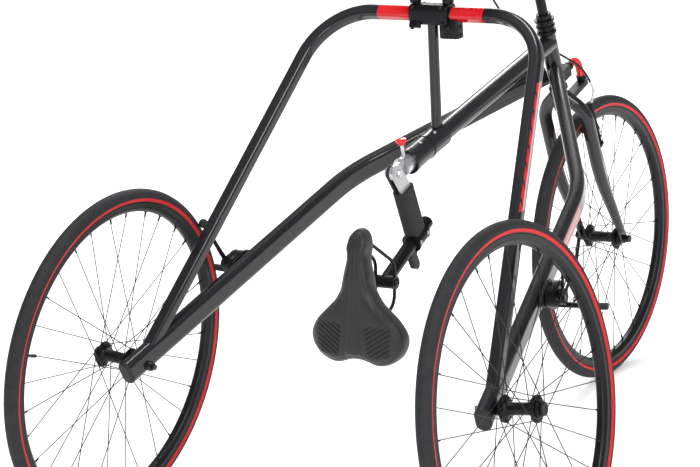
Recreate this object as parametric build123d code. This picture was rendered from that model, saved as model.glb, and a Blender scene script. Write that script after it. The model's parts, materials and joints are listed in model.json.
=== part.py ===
from build123d import *
import os
from math import cos, pi, radians, sin, sqrt

os.makedirs("parts", exist_ok=True)

# Overall layout. X runs forward, Y to the rider's left, Z up, all in millimetres.
# Sizes ending in _X are counted forward from the rear axle.
WHEELBASE = 1225.0
REAR_TRACK = 920.0  # between the rear hubs' centres
REAR_CAMBER = 6.5  # degrees, tops of the rear wheels lean inwards
HEAD_ANGLE = 73.0  # degrees, steering axis from the ground
FORK_RAKE = 61.4  # front axle ahead of the steering axis
SEAT_GAP = 0.3  # between a soft or sliding piece and what carries it
PIN_CLEARANCE = 0.05  # round a pin or an axle

# Tyres and rims
REAR_TYRE_RADIUS = 343.0
FRONT_TYRE_RADIUS = 324.5
TYRE_WIDTH = 32.0
RIM_HOOK = 6.0  # rim edge outside the tyre's seat
RIM_DEPTH = 20.0
RIM_WIDTH = 24.0
RIM_INNER_WIDTH = 13.0

# Hubs and spokes
SPOKE_COUNT = 32
SPOKE_DIAMETER = 2.0
SPOKE_SIDES = 6
SPOKE_CROSSINGS = 3
SPOKE_PHASE = 5.0  # degrees, turns the spokes about the hub
RIM_SPOKE_OFFSET = 2.0
FLANGE_DIAMETER = 52.0
FLANGE_THICKNESS = 3.0
FLANGE_HOLE_CIRCLE = 44.0
HUB_WAIST = 27.0
HUB_END = 34.0
HUB_END_WIDTH = 8.0
REAR_HUB_HALF = 44.0
REAR_FLANGE_SPACING = 66.0
FRONT_HUB_HALF = 47.0
FRONT_FLANGE_SPACING = 70.0

# Rear axle stubs
REAR_AXLE_DIAMETER = 12.0
AXLE_HEAD_DIAMETER = 20.0
AXLE_HEAD_WIDTH = 7.0
AXLE_SPACER_DIAMETER = 24.0
AXLE_SHOULDER_GAP = 1.5  # axle head and spacer from the rail's side

# Oval side rails, from behind the rear axle to the head tube
RAIL_WIDTH = 31.0
RAIL_HEIGHT = 48.0
RAIL_CORNER = 14.0
RAIL_OVERHANG = 44.0  # behind the rear axle
RAIL_AXLE_INSET = 64.0  # rail centre inside the hub's centre
RAIL_AXLE_RISE = 3.4  # rail centre above the hub's centre
RAIL_BEND_X = 610.0
RAIL_BEND_Y = 274.0
RAIL_BEND_Z = 589.0
RAIL_BEND_RADIUS = 320.0
RAIL_FRONT_Y = 15.0
RAIL_FRONT_BEHIND = 22.0  # rail's front end behind the steering axis
RAIL_FRONT_DISTANCE = 462.0  # along the steering axis, above the axle's foot
PLUG_LENGTH = 8.0
PLUG_ROUND = 4.0

# Hoop that leans forward over the rider
HOOP_SIZE = 27.0
HOOP_CORNER = 8.0
HOOP_TOP_X = 531.0
HOOP_TOP_Y = 251.0  # corner of the leg's line and the top's line
HOOP_TOP_Z = 958.0
HOOP_FOOT_X = 15.5
HOOP_FOOT_Y = 394.0
HOOP_FOOT_Z = 357.0
HOOP_BEND_RADIUS = 135.0

# Centre tube, sleeve and post
CENTRE_TUBE_DIAMETER = 40.0
CENTRE_FRONT_DISTANCE = 529.0  # along the steering axis
SLEEVE_DIAMETER = 50.0
SLEEVE_BORE = 38.4
SLEEVE_REAR_X = 402.0
SLEEVE_REAR_Z = 680.5
SLEEVE_LENGTH = 136.0
SLEEVE_RING_WIDTH = 14.0
SLEEVE_RING_DIAMETER = 53.0
SLEEVE_BAND_OFFSET = 70.0
SLEEVE_BAND_WIDTH = 3.0
SLEEVE_BAND_DIAMETER = 52.5
POST_DIAMETER = 22.0
POST_FOOT_X = 520.0

# Head tube, its bearings and the stack of clamp rings above them
HEAD_TUBE_DIAMETER = 36.0
HEAD_TUBE_BORE = 31.0
HEAD_LOW = 425.0  # along the steering axis, above the axle's foot
HEAD_LENGTH = 128.0
CUP_DIAMETER = 43.0
CUP_HEIGHT = 9.0
STEERER_DIAMETER = 25.4
STEERER_STAND = 14.0  # steerer above the upper cup
# each ring's height and diameter, from the lowest up
STACK_RINGS = ((8.0, 36.0), (4.0, 43.0), (9.0, 37.0), (5.0, 44.0), (12.0, 33.0))

# Fork
CROWN_GAP = 0.3
CROWN_DIAMETER = 36.0
CROWN_HEIGHT = 48.0
BLADE_TOP_DIAMETER = 30.0
BLADE_MIDDLE_DIAMETER = 27.0
BLADE_TIP_DIAMETER = 17.0
BLADE_LEAD = 6.0  # blades ahead of the steering axis at the shoulder
SHOULDER_DROP = 58.0  # below the crown's top
SHOULDER_RADIUS = 70.0
BLADE_BEND_DISTANCE = 190.0  # along the steering axis
BLADE_BEND_LEAD = 11.0
BLADE_BEND_RADIUS = 380.0
DROPOUT_THICKNESS = 5.0
DROPOUT_DIAMETER = 24.0
DROPOUT_REACH = 24.0  # from the axle up to the blade's tip
DROPOUT_LEAD = 55.4
FRONT_OVER_LOCKNUTS = 100.0
FRONT_AXLE_DIAMETER = 9.0
SKEWER_NUT_DIAMETER = 17.0
SKEWER_NUT_WIDTH = 13.0
SKEWER_LEVER_DIAMETER = 9.0
SKEWER_LEVER_LENGTH = 70.0

# Front rim brake: two arms on studs, pads, and the bent pipe that leads the cable in
ARM_FOOT = (252.0, 48.0, 47.0)  # distance, lead and side in steering coordinates
ARM_MIDDLE = (289.0, 58.0, 40.0)
ARM_TOP = (342.0, 63.0, 34.0)
BRAKE_ARM_WIDTH = 13.0
BRAKE_STUD_DIAMETER = 9.0
PAD_LENGTH = 50.0
PAD_HEIGHT = 11.0
PAD_THICKNESS = 9.0
PAD_CLEARANCE = 2.5  # from the rim
PIPE_DIAMETER = 5.5
PIPE_RISE = 46.0
PIPE_HEAD = (88.0, -30.0)  # lead and side of its upper end
PIPE_BEND_LEAD = 93.0
PIPE_BEND_RADIUS = 22.0

# Steering spring: a red bow from the fork's shelf up to a bracket on the head tube
BOW_DIAMETER = 16.0
BOW_LEAD = 104.0
BOW_LOW = 382.0
BOW_HIGH = 440.0
BOW_RADIUS = 26.0
BOW_BRACKET_REACH = 48.0
BOW_BRACKET_SIZE = 26.0
SHELF_THICKNESS = 12.0
SHELF_WIDTH = 22.0

# Stem and handlebar
STEM_TUBE_DIAMETER = 22.2
STEM_TOP = 862.0  # along the steering axis
BAR_DIAMETER = 22.2
BAR_CLAMP_DIAMETER = 32.0
BAR_CLAMP_WIDTH = 44.0
BAR_STRAIGHT = 36.0
BAR_HALF_WIDTH = 250.0
BAR_BEND_Y = 125.0
BAR_BEND_SWEEP = 8.0
BAR_SWEEP = 95.0
BAR_RISE = 20.0
BAR_BEND_RADIUS = 60.0
GRIP_DIAMETER = 31.0
GRIP_LENGTH = 110.0
GRIP_END = 3.0

# Brake lever on the left grip, and its cable down to the fork
LEVER_CLAMP_DIAMETER = 30.0
LEVER_CLAMP_WIDTH = 13.0
LEVER_BODY = 20.0
LEVER_DROP = 30.0  # lever's line from the grip's line
LEVER_LEAN = 0.4  # how far it leans forward for each unit down
LEVER_GAP = 1.0  # between the grip and the lever's clamp
LEVER_BLADE_DIAMETER = 9.0
LEVER_BLADE_LENGTH = 105.0
LEVER_BALL = 14.0
CABLE_DIAMETER = 5.0
CABLE_RADIUS = 45.0
CABLE_ROUTE = ((640.0, -72.0, 98.0), (478.0, 42.0, 2.0), (424.0, 84.0, -24.0))

# Saddle carrier in the sleeve, with its lug for the pivot
CARRIER_DIAMETER = 38.0
CARRIER_END_X = 377.0
CARRIER_INSERT = 112.0  # inside the sleeve
LUG_THICKNESS = 8.0
LUG_RADIUS = 15.0
PIVOT_X = 350.0
PIVOT_DIAMETER = 10.0
PIN_HEAD_DIAMETER = 26.0
PIN_HEAD_WIDTH = 11.0
PIN_HEAD_ROUND = 8.8
PIN_TAIL_DIAMETER = 15.6
PIN_TAIL_WIDTH = 5.5
KNOB_OFFSET = 9.0  # behind the sleeve
KNOB_STEM_DIAMETER = 7.0
KNOB_STEM_LENGTH = 24.0
KNOB_DIAMETER = 23.0
KNOB_HEIGHT = 12.0
KNOB_ROUND = 5.0

# Saddle arm: two plates on the pivot, an oval tube and the seat post's clamp
ARM_LINE_X = 365.0  # arm's line at the pivot's height
ARM_LENGTH = 155.0
ARM_LEAN = 19.7  # degrees, foot forward
ARM_WIDTH = 32.0
ARM_DEPTH = 50.0
ARM_START = 40.0
ARM_CORNER = 14.0
ARM_PLUG = 8.0
CLEVIS_PLATE_THICKNESS = 5.0
CLEVIS_PLATE_WIDTH = 34.0
SEAT_POST_DIAMETER = 27.2
SEAT_POST_RISE = 25.6  # degrees from level, forward end up
SEAT_POST_AHEAD = 52.0
SEAT_POST_BEHIND = 141.0
POST_CAP_ROUND = 4.0
POST_CLAMP_DIAMETER = 40.0
POST_CLAMP_LENGTH = 46.0
CLAMP_LEVER_BEHIND = 34.0
CLAMP_LEVER_DROP = 33.0
CLAMP_LEVER_LENGTH = 22.0
CLAMP_LEVER_WIDTH = 20.0
CLAMP_LEVER_THICKNESS = 12.0
CLAMP_BOLT_DIAMETER = 9.0
CLAMP_BOLT_BEHIND = 13.8
CLAMP_LEVER_ROOM = 1.0  # between the lever and the seat post

# Saddle, which hangs nose up and faces backwards
SADDLE_LENGTH = 266.0
SADDLE_NOTCH = 9.0
SADDLE_DEPTH = 44.0
SADDLE_MIDDLE = 0.3  # share of the length about which the layers shrink
SADDLE_LAYERS = ((0.86, 0.0), (0.93, 2.0), (0.98, 6.0), (1.0, 11.0))  # share of the outline, inset
SADDLE_TILT = 6.5  # degrees, tail further back than the nose
SADDLE_TAIL_X = 155.0
SADDLE_TAIL_Z = 326.0
# half widths and heights above the tail, from the lobe's foot to the nose
SADDLE_OUTLINE = ((48.0, 0.0), (90.0, 18.0), (107.0, 54.0), (93.0, 88.0), (58.0, 124.0), (34.0, 158.0),
                  (26.0, 200.0), (21.0, 240.0))
SADDLE_CLAMP_DIAMETER = 26.0
SADDLE_CLAMP_WIDTH = 52.0
WIRE_DIAMETER = 7.0
WIRE_Y = 22.0
WIRE_HALF_RUN = 40.0
WIRE_NOSE_REACH = 95.0
WIRE_TAIL_REACH = 85.0
WIRE_TAIL_Y = 34.0
WIRE_NOSE_Y = 13.0
WIRE_RADIUS = 30.0
WIRE_BURY = 14.0  # wire's end inside the saddle

# Chest rest on the hoop's top
COLLAR_HALF = 43.0
COLLAR_SIZE = 45.0
COLLAR_LUG = (26.0, 44.0, 32.0)
COLLAR_LUG_Y = 42.0
UPRIGHT_DIAMETER = 16.0
UPRIGHT_SPACING = 76.0
UPRIGHT_SEAT = 2.0
UPRIGHT_TOP_Z = 1133.0
CHEST_PLATE_Z = 1090.0
CHEST_PLATE_WIDTH = 230.0
CHEST_PLATE_HEIGHT = 130.0
CHEST_PLATE_THICKNESS = 4.0
CHEST_PLATE_CURVE = 260.0
CHEST_PAD_THICKNESS = 24.0

# Parking brakes on the rails, ahead of the rear tyres
PARKING_X = 300.0
PARKING_STRAP = (18.0, 3.0)  # length and thickness round the rail
PARKING_PLATE = (58.0, 34.0, 8.0)
PARKING_BOSS_DIAMETER = 24.0
PARKING_BOSS_HEIGHT = 16.0
PARKING_BOSS_OFFSET = 8.0
PARKING_LEVER_DIAMETER = 8.0
PARKING_LEVER_TIP = (-10.0, 100.0, 42.0)  # rearward, up and outward from the rail's side
PARKING_KNOB = 20.0
PARKING_BAR_DIAMETER = 14.0
PARKING_BAR = (-14.0, -34.0, 118.0)
PARKING_LINK_THICKNESS = 7.0
PARKING_LINK_WIDTH = 20.0

# Places that follow from the sizes above
HALF_LENGTH = (REAR_TYRE_RADIUS + WHEELBASE + FRONT_TYRE_RADIUS) / 2
REAR_AXLE_X = REAR_TYRE_RADIUS - HALF_LENGTH
FRONT_AXLE = Vector(HALF_LENGTH - FRONT_TYRE_RADIUS, 0, FRONT_TYRE_RADIUS)
REAR_HUB_Z = (REAR_TYRE_RADIUS - TYRE_WIDTH / 2) * cos(radians(REAR_CAMBER)) + TYRE_WIDTH / 2
STEER_UP = Vector(-cos(radians(HEAD_ANGLE)), 0, sin(radians(HEAD_ANGLE)))
STEER_FORWARD = Vector(sin(radians(HEAD_ANGLE)), 0, cos(radians(HEAD_ANGLE)))
LEFT = Vector(0, 1, 0)


def at(x, y, z):
    """A point, with x counted forward from the rear axle."""
    return Vector(REAR_AXLE_X + x, y, z)


def steered(distance, forward=0.0, side=0.0):
    """A point by its distance up the steering axis, from the foot of the front axle."""
    foot = FRONT_AXLE - STEER_FORWARD * FORK_RAKE
    return foot + STEER_UP * distance + STEER_FORWARD * forward + LEFT * side


def rod(start, end, diameter, bore=0.0):
    """A round bar or pipe between two points."""
    axis = end - start
    section = Circle(diameter / 2)
    if bore:
        section -= Circle(bore / 2)
    return extrude(Plane(origin=start, z_dir=axis) * section, axis.length)


def cross_rod(centre, half, diameter):
    """A round bar along Y, through a point."""
    return rod(centre - LEFT * half, centre + LEFT * half, diameter)


def swept(points, radii, section, x_dir=None):
    """A section carried along straight runs joined by tangent arcs."""
    path = FilletPolyline(*points, radius=radii)
    plane = Plane(origin=points[0], x_dir=x_dir, z_dir=points[1] - points[0])
    return sweep(plane * section, path=path)


def block(plane, centre, size):
    """A box by its centre and size in a plane's own directions."""
    return plane * Pos(*centre) * Box(*size)


def mirrored(shape):
    """The same piece on the other side of the centre line."""
    return mirror(shape, about=Plane.XZ)


def across(point):
    """The same point on the other side of the centre line."""
    return Vector(point.X, -point.Y, point.Z)


def save(shape, node):
    """Write one node."""
    export_step(shape, f"parts/{node}.step")


def save_pair(left, name):
    """Write a left piece and its mirror image."""
    save(left, f"{name}_left")
    save(mirrored(left), f"{name}_right")


def tyre(tyre_radius):
    """Slick tyre, a ring about Y with its seat cut flat."""
    seat = tyre_radius - TYRE_WIDTH + RIM_HOOK + SEAT_GAP
    section = Pos(tyre_radius - TYRE_WIDTH / 2, 0) * Circle(TYRE_WIDTH / 2)
    section -= Pos(seat - TYRE_WIDTH / 2, 0) * Rectangle(TYRE_WIDTH, TYRE_WIDTH * 2)
    return revolve(section, Axis.Y)


def rim(tyre_radius):
    """Rim with flat braking sides and a narrower inner edge."""
    outer = tyre_radius - TYRE_WIDTH + RIM_HOOK
    inner = outer - RIM_DEPTH
    shoulder = (outer + inner) / 2
    half, inner_half = RIM_WIDTH / 2, RIM_INNER_WIDTH / 2
    outline = [(outer, half), (shoulder, half), (inner, inner_half)]
    outline += [(radius, -width) for radius, width in reversed(outline)]
    return revolve(make_face(Polyline(*outline, close=True)), Axis.Y)


def hub(half, spacing, bore):
    """Hub shell with two spoke flanges, a waist and end caps, bored for its axle."""
    centre = Vector(0, 0, 0)
    shell = cross_rod(centre, half, HUB_WAIST)
    for side in (-1, 1):
        shell += cross_rod(centre + LEFT * side * spacing / 2, FLANGE_THICKNESS / 2, FLANGE_DIAMETER)
        shell += cross_rod(centre + LEFT * side * (half - HUB_END_WIDTH / 2), HUB_END_WIDTH / 2, HUB_END)
    return shell - cross_rod(centre, 2 * half, bore)


def spokes(tyre_radius, spacing):
    """Crossed spokes, half on each flange, inside and outside the flange by turns."""
    rim_inner = tyre_radius - TYRE_WIDTH + RIM_HOOK - RIM_DEPTH
    hole_radius = FLANGE_HOLE_CIRCLE / 2
    per_flange = SPOKE_COUNT // 2
    hole_step = 2 * pi / per_flange
    flange_run = sqrt((FLANGE_DIAMETER / 2) ** 2 - hole_radius**2)
    slope = spacing / 2 / rim_inner
    start_gap = FLANGE_THICKNESS / 2 + SPOKE_DIAMETER / 2 + SEAT_GAP
    bars = []
    for side in (-1, 1):
        for index in range(per_flange):
            turn = 1 if index % 2 else -1
            # the spokes outside the flange start further out, to clear its edge
            offset = start_gap + (flange_run * slope + SEAT_GAP if turn > 0 else 0)
            hole = radians(SPOKE_PHASE) + (index + (0.5 if side > 0 else 0)) * hole_step
            end_angle = hole + turn * SPOKE_CROSSINGS * hole_step
            start_side = side * (spacing / 2 + turn * offset)
            start = Vector(hole_radius * cos(hole), start_side, hole_radius * sin(hole))
            end_radius = rim_inner - SEAT_GAP
            end = Vector(end_radius * cos(end_angle), side * RIM_SPOKE_OFFSET, end_radius * sin(end_angle))
            axis = end - start
            section = RegularPolygon(SPOKE_DIAMETER / 2, SPOKE_SIDES)
            bars.append(extrude(Plane(origin=start, z_dir=axis) * section, axis.length))
    return Compound(bars)


# Wheels, made about their own axle; the rear ones are then leaned in
REAR_WHEEL = Pos(REAR_AXLE_X, REAR_TRACK / 2, REAR_HUB_Z) * Rot(REAR_CAMBER, 0, 0)
FRONT_WHEEL = Pos(FRONT_AXLE.X, 0, FRONT_AXLE.Z)
save_pair(REAR_WHEEL * tyre(REAR_TYRE_RADIUS), "rear_tyre")
save_pair(REAR_WHEEL * rim(REAR_TYRE_RADIUS), "rear_rim")
save_pair(REAR_WHEEL * spokes(REAR_TYRE_RADIUS, REAR_FLANGE_SPACING), "rear_spokes")
rear_hub = hub(REAR_HUB_HALF, REAR_FLANGE_SPACING, REAR_AXLE_DIAMETER + 2 * PIN_CLEARANCE)
save_pair(REAR_WHEEL * rear_hub, "rear_hub")
save(FRONT_WHEEL * tyre(FRONT_TYRE_RADIUS), "front_tyre")
save(FRONT_WHEEL * rim(FRONT_TYRE_RADIUS), "front_rim")
save(FRONT_WHEEL * spokes(FRONT_TYRE_RADIUS, FRONT_FLANGE_SPACING), "front_spokes")
front_hub = hub(FRONT_HUB_HALF, FRONT_FLANGE_SPACING, FRONT_AXLE_DIAMETER + 2 * PIN_CLEARANCE)
save(FRONT_WHEEL * front_hub, "front_hub")

# Side rails and head tube
rail_section = RectangleRounded(RAIL_WIDTH, RAIL_HEIGHT, RAIL_CORNER)
rail_axle_point = at(0, REAR_TRACK / 2 - RAIL_AXLE_INSET, REAR_HUB_Z + RAIL_AXLE_RISE)
rail_bend_point = at(RAIL_BEND_X, RAIL_BEND_Y, RAIL_BEND_Z)
rail_axis = (rail_bend_point - rail_axle_point).normalized()
rail_rear_point = rail_axle_point - rail_axis * RAIL_OVERHANG
rail_front_point = steered(RAIL_FRONT_DISTANCE, -RAIL_FRONT_BEHIND, RAIL_FRONT_Y)
rail_side = Vector(-rail_axis.Y, rail_axis.X, 0).normalized()
rail_points = [rail_rear_point, rail_bend_point, rail_front_point]
rail_solid = swept(rail_points, RAIL_BEND_RADIUS, rail_section, rail_side)
head_low = steered(HEAD_LOW)
head_high = steered(HEAD_LOW + HEAD_LENGTH)
head_solid = rod(head_low, head_high, HEAD_TUBE_DIAMETER)
save(head_solid - rod(head_low, head_high, HEAD_TUBE_BORE), "head_tube")

# Rounded plugs in the rails' rear ends
plug_plane = Plane(origin=rail_rear_point, x_dir=rail_side, z_dir=-rail_axis)
plug = extrude(plug_plane * rail_section, PLUG_LENGTH)
plug_end = max(plug.faces(), key=lambda face: face.center().dot(-rail_axis))
plug = fillet(plug_end.edges(), PLUG_ROUND)
save(Compound([plug, mirrored(plug)]), "rail_plugs")

# Centre tube from the head tube back to the sleeve
centre_front = steered(CENTRE_FRONT_DISTANCE)
sleeve_rear = at(SLEEVE_REAR_X, 0, SLEEVE_REAR_Z)
centre_axis = (centre_front - sleeve_rear).normalized()
centre_normal = Vector(-centre_axis.Z, 0, centre_axis.X)
sleeve_front = sleeve_rear + centre_axis * SLEEVE_LENGTH
centre_solid = rod(sleeve_front, centre_front, CENTRE_TUBE_DIAMETER)
save(centre_solid - head_solid, "centre_tube")


def on_centre(x):
    """The point of the centre tube's axis at an x counted from the rear axle."""
    return sleeve_rear + centre_axis * ((x - SLEEVE_REAR_X) / centre_axis.X)


# Rear axle stubs: head inside the rail, shank through rail and hub, nut outside the hub
axle_axis = Vector(0, cos(radians(REAR_CAMBER)), sin(radians(REAR_CAMBER)))
hub_centre = at(0, REAR_TRACK / 2, REAR_HUB_Z)


def on_axle(run):
    """A point of the left rear axle by its distance outside the hub's centre."""
    return hub_centre + axle_axis * run


head_run = -(RAIL_AXLE_INSET + RAIL_WIDTH / 2 + AXLE_SHOULDER_GAP)
spacer_run = -(RAIL_AXLE_INSET - RAIL_WIDTH / 2 - AXLE_SHOULDER_GAP)
axle_bore = rod(on_axle(-REAR_TRACK / 4), hub_centre, REAR_AXLE_DIAMETER + 2 * PIN_CLEARANCE)
shoulders = rod(on_axle(head_run - AXLE_HEAD_WIDTH), on_axle(head_run + RAIL_WIDTH / 2), AXLE_HEAD_DIAMETER)
spacer_ends = on_axle(spacer_run - RAIL_WIDTH / 2), on_axle(-REAR_HUB_HALF - SEAT_GAP)
shoulders += rod(*spacer_ends, AXLE_SPACER_DIAMETER)
rear_axle = shoulders - rail_solid
shank_ends = on_axle(head_run - AXLE_HEAD_WIDTH / 2), on_axle(REAR_HUB_HALF + AXLE_HEAD_WIDTH)
rear_axle += rod(*shank_ends, REAR_AXLE_DIAMETER)
nut_start = REAR_HUB_HALF + SEAT_GAP
rear_axle += rod(on_axle(nut_start), on_axle(nut_start + AXLE_HEAD_WIDTH), AXLE_HEAD_DIAMETER)
save_pair(rear_axle, "rear_axle")
save_pair(rail_solid - axle_bore - centre_solid - head_solid, "main_rail")

# Hoop of rounded square tube, its feet on the rails
hoop_section = RectangleRounded(HOOP_SIZE, HOOP_SIZE, HOOP_CORNER)
hoop_foot = at(HOOP_FOOT_X, HOOP_FOOT_Y, HOOP_FOOT_Z)
hoop_corner = at(HOOP_TOP_X, HOOP_TOP_Y, HOOP_TOP_Z)
hoop_top = at(HOOP_TOP_X, 0, HOOP_TOP_Z)
hoop_points = [hoop_foot, hoop_corner, across(hoop_corner), across(hoop_foot)]
hoop_normal = (hoop_corner - hoop_foot).cross(LEFT).normalized()
hoop_solid = swept(hoop_points, HOOP_BEND_RADIUS, hoop_section, hoop_normal)
hoop = hoop_solid - rail_solid - mirrored(rail_solid)
save(hoop.solids().sort_by(SortBy.VOLUME)[-1], "hoop")

# Sleeve that carries the saddle, with a ring at its rear end and a band
sleeve_solid = rod(sleeve_rear, sleeve_front, SLEEVE_DIAMETER)
sleeve_band = sleeve_rear + centre_axis * SLEEVE_BAND_OFFSET
sleeve_rings = rod(sleeve_rear, sleeve_rear + centre_axis * SLEEVE_RING_WIDTH, SLEEVE_RING_DIAMETER)
sleeve_rings += rod(sleeve_band, sleeve_band + centre_axis * SLEEVE_BAND_WIDTH, SLEEVE_BAND_DIAMETER)
bore_end = sleeve_rear + centre_axis * (CARRIER_INSERT + SLEEVE_RING_WIDTH)
save(sleeve_solid + sleeve_rings - rod(sleeve_rear - centre_axis, bore_end, SLEEVE_BORE), "saddle_sleeve")

# Post from the sleeve up to the hoop
hoop_post = rod(on_centre(POST_FOOT_X), hoop_top, POST_DIAMETER)
save(hoop_post - sleeve_solid - centre_solid - hoop_solid, "hoop_post")

# Headset cups
cups = []
for cup_low in (HEAD_LOW - CUP_HEIGHT, HEAD_LOW + HEAD_LENGTH):
    cup_ends = steered(cup_low), steered(cup_low + CUP_HEIGHT)
    cups.append(rod(*cup_ends, CUP_DIAMETER, STEERER_DIAMETER + 2 * PIN_CLEARANCE))
save(Compound(cups), "headset_cups")

# Fork: steerer, crown, blades that arc out and down with a long taper, and dropouts
steerer_top = HEAD_LOW + HEAD_LENGTH + CUP_HEIGHT + STEERER_STAND
crown_top = HEAD_LOW - CUP_HEIGHT - CROWN_GAP
crown_low = crown_top - CROWN_HEIGHT
blade_side = FRONT_OVER_LOCKNUTS / 2 + DROPOUT_THICKNESS / 2
arm_root = steered(crown_top - BLADE_TOP_DIAMETER / 2, 0, CROWN_DIAMETER / 4)
shoulder_point = steered(crown_top - SHOULDER_DROP, BLADE_LEAD, blade_side)
bend_point = steered(BLADE_BEND_DISTANCE, BLADE_BEND_LEAD, blade_side)
tip_point = steered(DROPOUT_REACH, DROPOUT_LEAD, blade_side)
blade_path = FilletPolyline(
    arm_root, shoulder_point, bend_point, tip_point, radius=[SHOULDER_RADIUS, BLADE_BEND_RADIUS]
)
blade_sizes = ((0.0, BLADE_TOP_DIAMETER), (0.35, BLADE_TOP_DIAMETER), (0.7, BLADE_MIDDLE_DIAMETER),
               (1.0, BLADE_TIP_DIAMETER))
blade_sections = []
for place, diameter in blade_sizes:
    blade_plane = Plane(origin=blade_path @ place, x_dir=LEFT, z_dir=blade_path % place)
    blade_sections.append(blade_plane * Circle(diameter / 2))
blade = sweep(Sketch() + blade_sections, path=blade_path, multisection=True)
front_hub_end = FRONT_AXLE + LEFT * (FRONT_OVER_LOCKNUTS / 2)
dropout_line = tip_point - FRONT_AXLE
dropout_line = Vector(dropout_line.X, 0, dropout_line.Z)
dropout_plane = Plane(origin=front_hub_end + dropout_line / 2, x_dir=dropout_line, z_dir=LEFT)
dropout = dropout_plane * SlotCenterToCenter(dropout_line.length, DROPOUT_DIAMETER)
blade += extrude(dropout, DROPOUT_THICKNESS)
fork_solid = rod(steered(crown_low), steered(steerer_top), STEERER_DIAMETER)
fork_solid += rod(steered(crown_low), steered(crown_top), CROWN_DIAMETER)
fork_solid += blade + mirrored(blade)
save(fork_solid - cross_rod(FRONT_AXLE, FRONT_OVER_LOCKNUTS, FRONT_AXLE_DIAMETER), "fork")

# Front axle with its quick release: a nut on the right, a cam lever on the left
axle_half = FRONT_OVER_LOCKNUTS / 2 + DROPOUT_THICKNESS
skewer = cross_rod(FRONT_AXLE, axle_half, FRONT_AXLE_DIAMETER)
for side in (-1, 1):
    nut_centre = FRONT_AXLE + LEFT * side * (axle_half + SKEWER_NUT_WIDTH / 2)
    skewer += cross_rod(nut_centre, SKEWER_NUT_WIDTH / 2, SKEWER_NUT_DIAMETER)
lever_tip = nut_centre + Vector(0, SKEWER_NUT_WIDTH, -SKEWER_LEVER_LENGTH)
skewer += rod(nut_centre, lever_tip, SKEWER_LEVER_DIAMETER)
skewer += Pos(lever_tip) * Sphere(SKEWER_LEVER_DIAMETER / 2)
save(skewer, "front_skewer")

# Front rim brake, in the fork's own coordinates


def brake_point(place, side):
    """A point of the brake by its distance, lead and side."""
    return steered(place[0], place[1], place[2] * side)


arms = []
pads = []
for side in (-1, 1):
    arm_foot, arm_middle, arm_top = (brake_point(place, side) for place in (ARM_FOOT, ARM_MIDDLE, ARM_TOP))
    arm = rod(arm_foot, arm_middle, BRAKE_ARM_WIDTH) + rod(arm_middle, arm_top, BRAKE_ARM_WIDTH)
    arm += Pos(arm_middle) * Sphere(BRAKE_ARM_WIDTH / 2) + Pos(arm_top) * Sphere(BRAKE_ARM_WIDTH / 2)
    stud_root = steered(ARM_FOOT[0], BLADE_LEAD, side * blade_side)
    arm += Pos(arm_foot) * Sphere(BRAKE_ARM_WIDTH / 2) + rod(stud_root, arm_foot, BRAKE_STUD_DIAMETER)
    pad_side = RIM_WIDTH / 2 + PAD_CLEARANCE + PAD_THICKNESS / 2
    pad_centre = steered(ARM_MIDDLE[0], ARM_MIDDLE[1], side * pad_side)
    pad_plane = Plane(origin=pad_centre, x_dir=STEER_FORWARD, z_dir=STEER_UP)
    pad = block(pad_plane, (0, 0, 0), (PAD_LENGTH, PAD_THICKNESS, PAD_HEIGHT))
    arm += rod(pad_centre, arm_middle, BRAKE_STUD_DIAMETER)
    arms.append(arm - pad - fork_solid)
    pads.append(pad)
save(Compound(arms), "front_brake_arms")
save(Compound(pads), "front_brake_pads")
pipe_foot = brake_point(ARM_TOP, -1)
pipe_high = steered(ARM_TOP[0] + PIPE_RISE, *PIPE_HEAD)
pipe_bend = steered(ARM_TOP[0] + PIPE_RISE / 2, PIPE_BEND_LEAD, -ARM_TOP[2])
pipe = swept([pipe_high, pipe_bend, pipe_foot], PIPE_BEND_RADIUS, Circle(PIPE_DIAMETER / 2))
save(pipe - Compound(arms), "brake_pipe")

# Steering spring: shelf on the fork's crown, red bow, and a bracket on the head tube
bow_points = [steered(BOW_HIGH), steered(BOW_HIGH, BOW_LEAD), steered(BOW_LOW, BOW_LEAD)]
bow = swept(bow_points, BOW_RADIUS, Circle(BOW_DIAMETER / 2))
bracket_zone = rod(steered(BOW_HIGH - BOW_BRACKET_SIZE / 2), steered(BOW_HIGH + BOW_BRACKET_SIZE / 2),
                   2 * BOW_BRACKET_REACH)
steer_plane = Plane(origin=steered(BOW_HIGH), x_dir=STEER_FORWARD, z_dir=STEER_UP)
bow_zone = steer_plane * Cylinder(BOW_BRACKET_REACH + SEAT_GAP, 2 * BOW_BRACKET_REACH)
save(bow - bow_zone, "steering_spring")
bracket_size = (BOW_BRACKET_REACH, BOW_BRACKET_SIZE, BOW_BRACKET_SIZE)
bow_bracket = block(steer_plane, (BOW_BRACKET_REACH / 2, 0, 0), bracket_size)
save((bow_bracket & bracket_zone) - head_solid, "spring_bracket")
shelf_centre = ((BOW_LEAD + BOW_DIAMETER / 2) / 2, 0, BOW_LOW - BOW_HIGH - SHELF_THICKNESS / 2)
shelf = block(steer_plane, shelf_centre, (BOW_LEAD + BOW_DIAMETER / 2, SHELF_WIDTH, SHELF_THICKNESS))
save(shelf - fork_solid, "spring_shelf")

# Stem: a stack of clamp rings on the steerer, a tall tube and the bar clamp
stack = None
ring_low = HEAD_LOW + HEAD_LENGTH + CUP_HEIGHT + CROWN_GAP
for ring_height, ring_diameter in STACK_RINGS:
    ring = rod(steered(ring_low), steered(ring_low + ring_height), ring_diameter)
    stack = ring if stack is None else stack + ring
    ring_low += ring_height
bar_centre = steered(STEM_TOP)
stem_solid = rod(steered(steerer_top), bar_centre, STEM_TUBE_DIAMETER)
save(stack - fork_solid - stem_solid, "stem_base")

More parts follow.
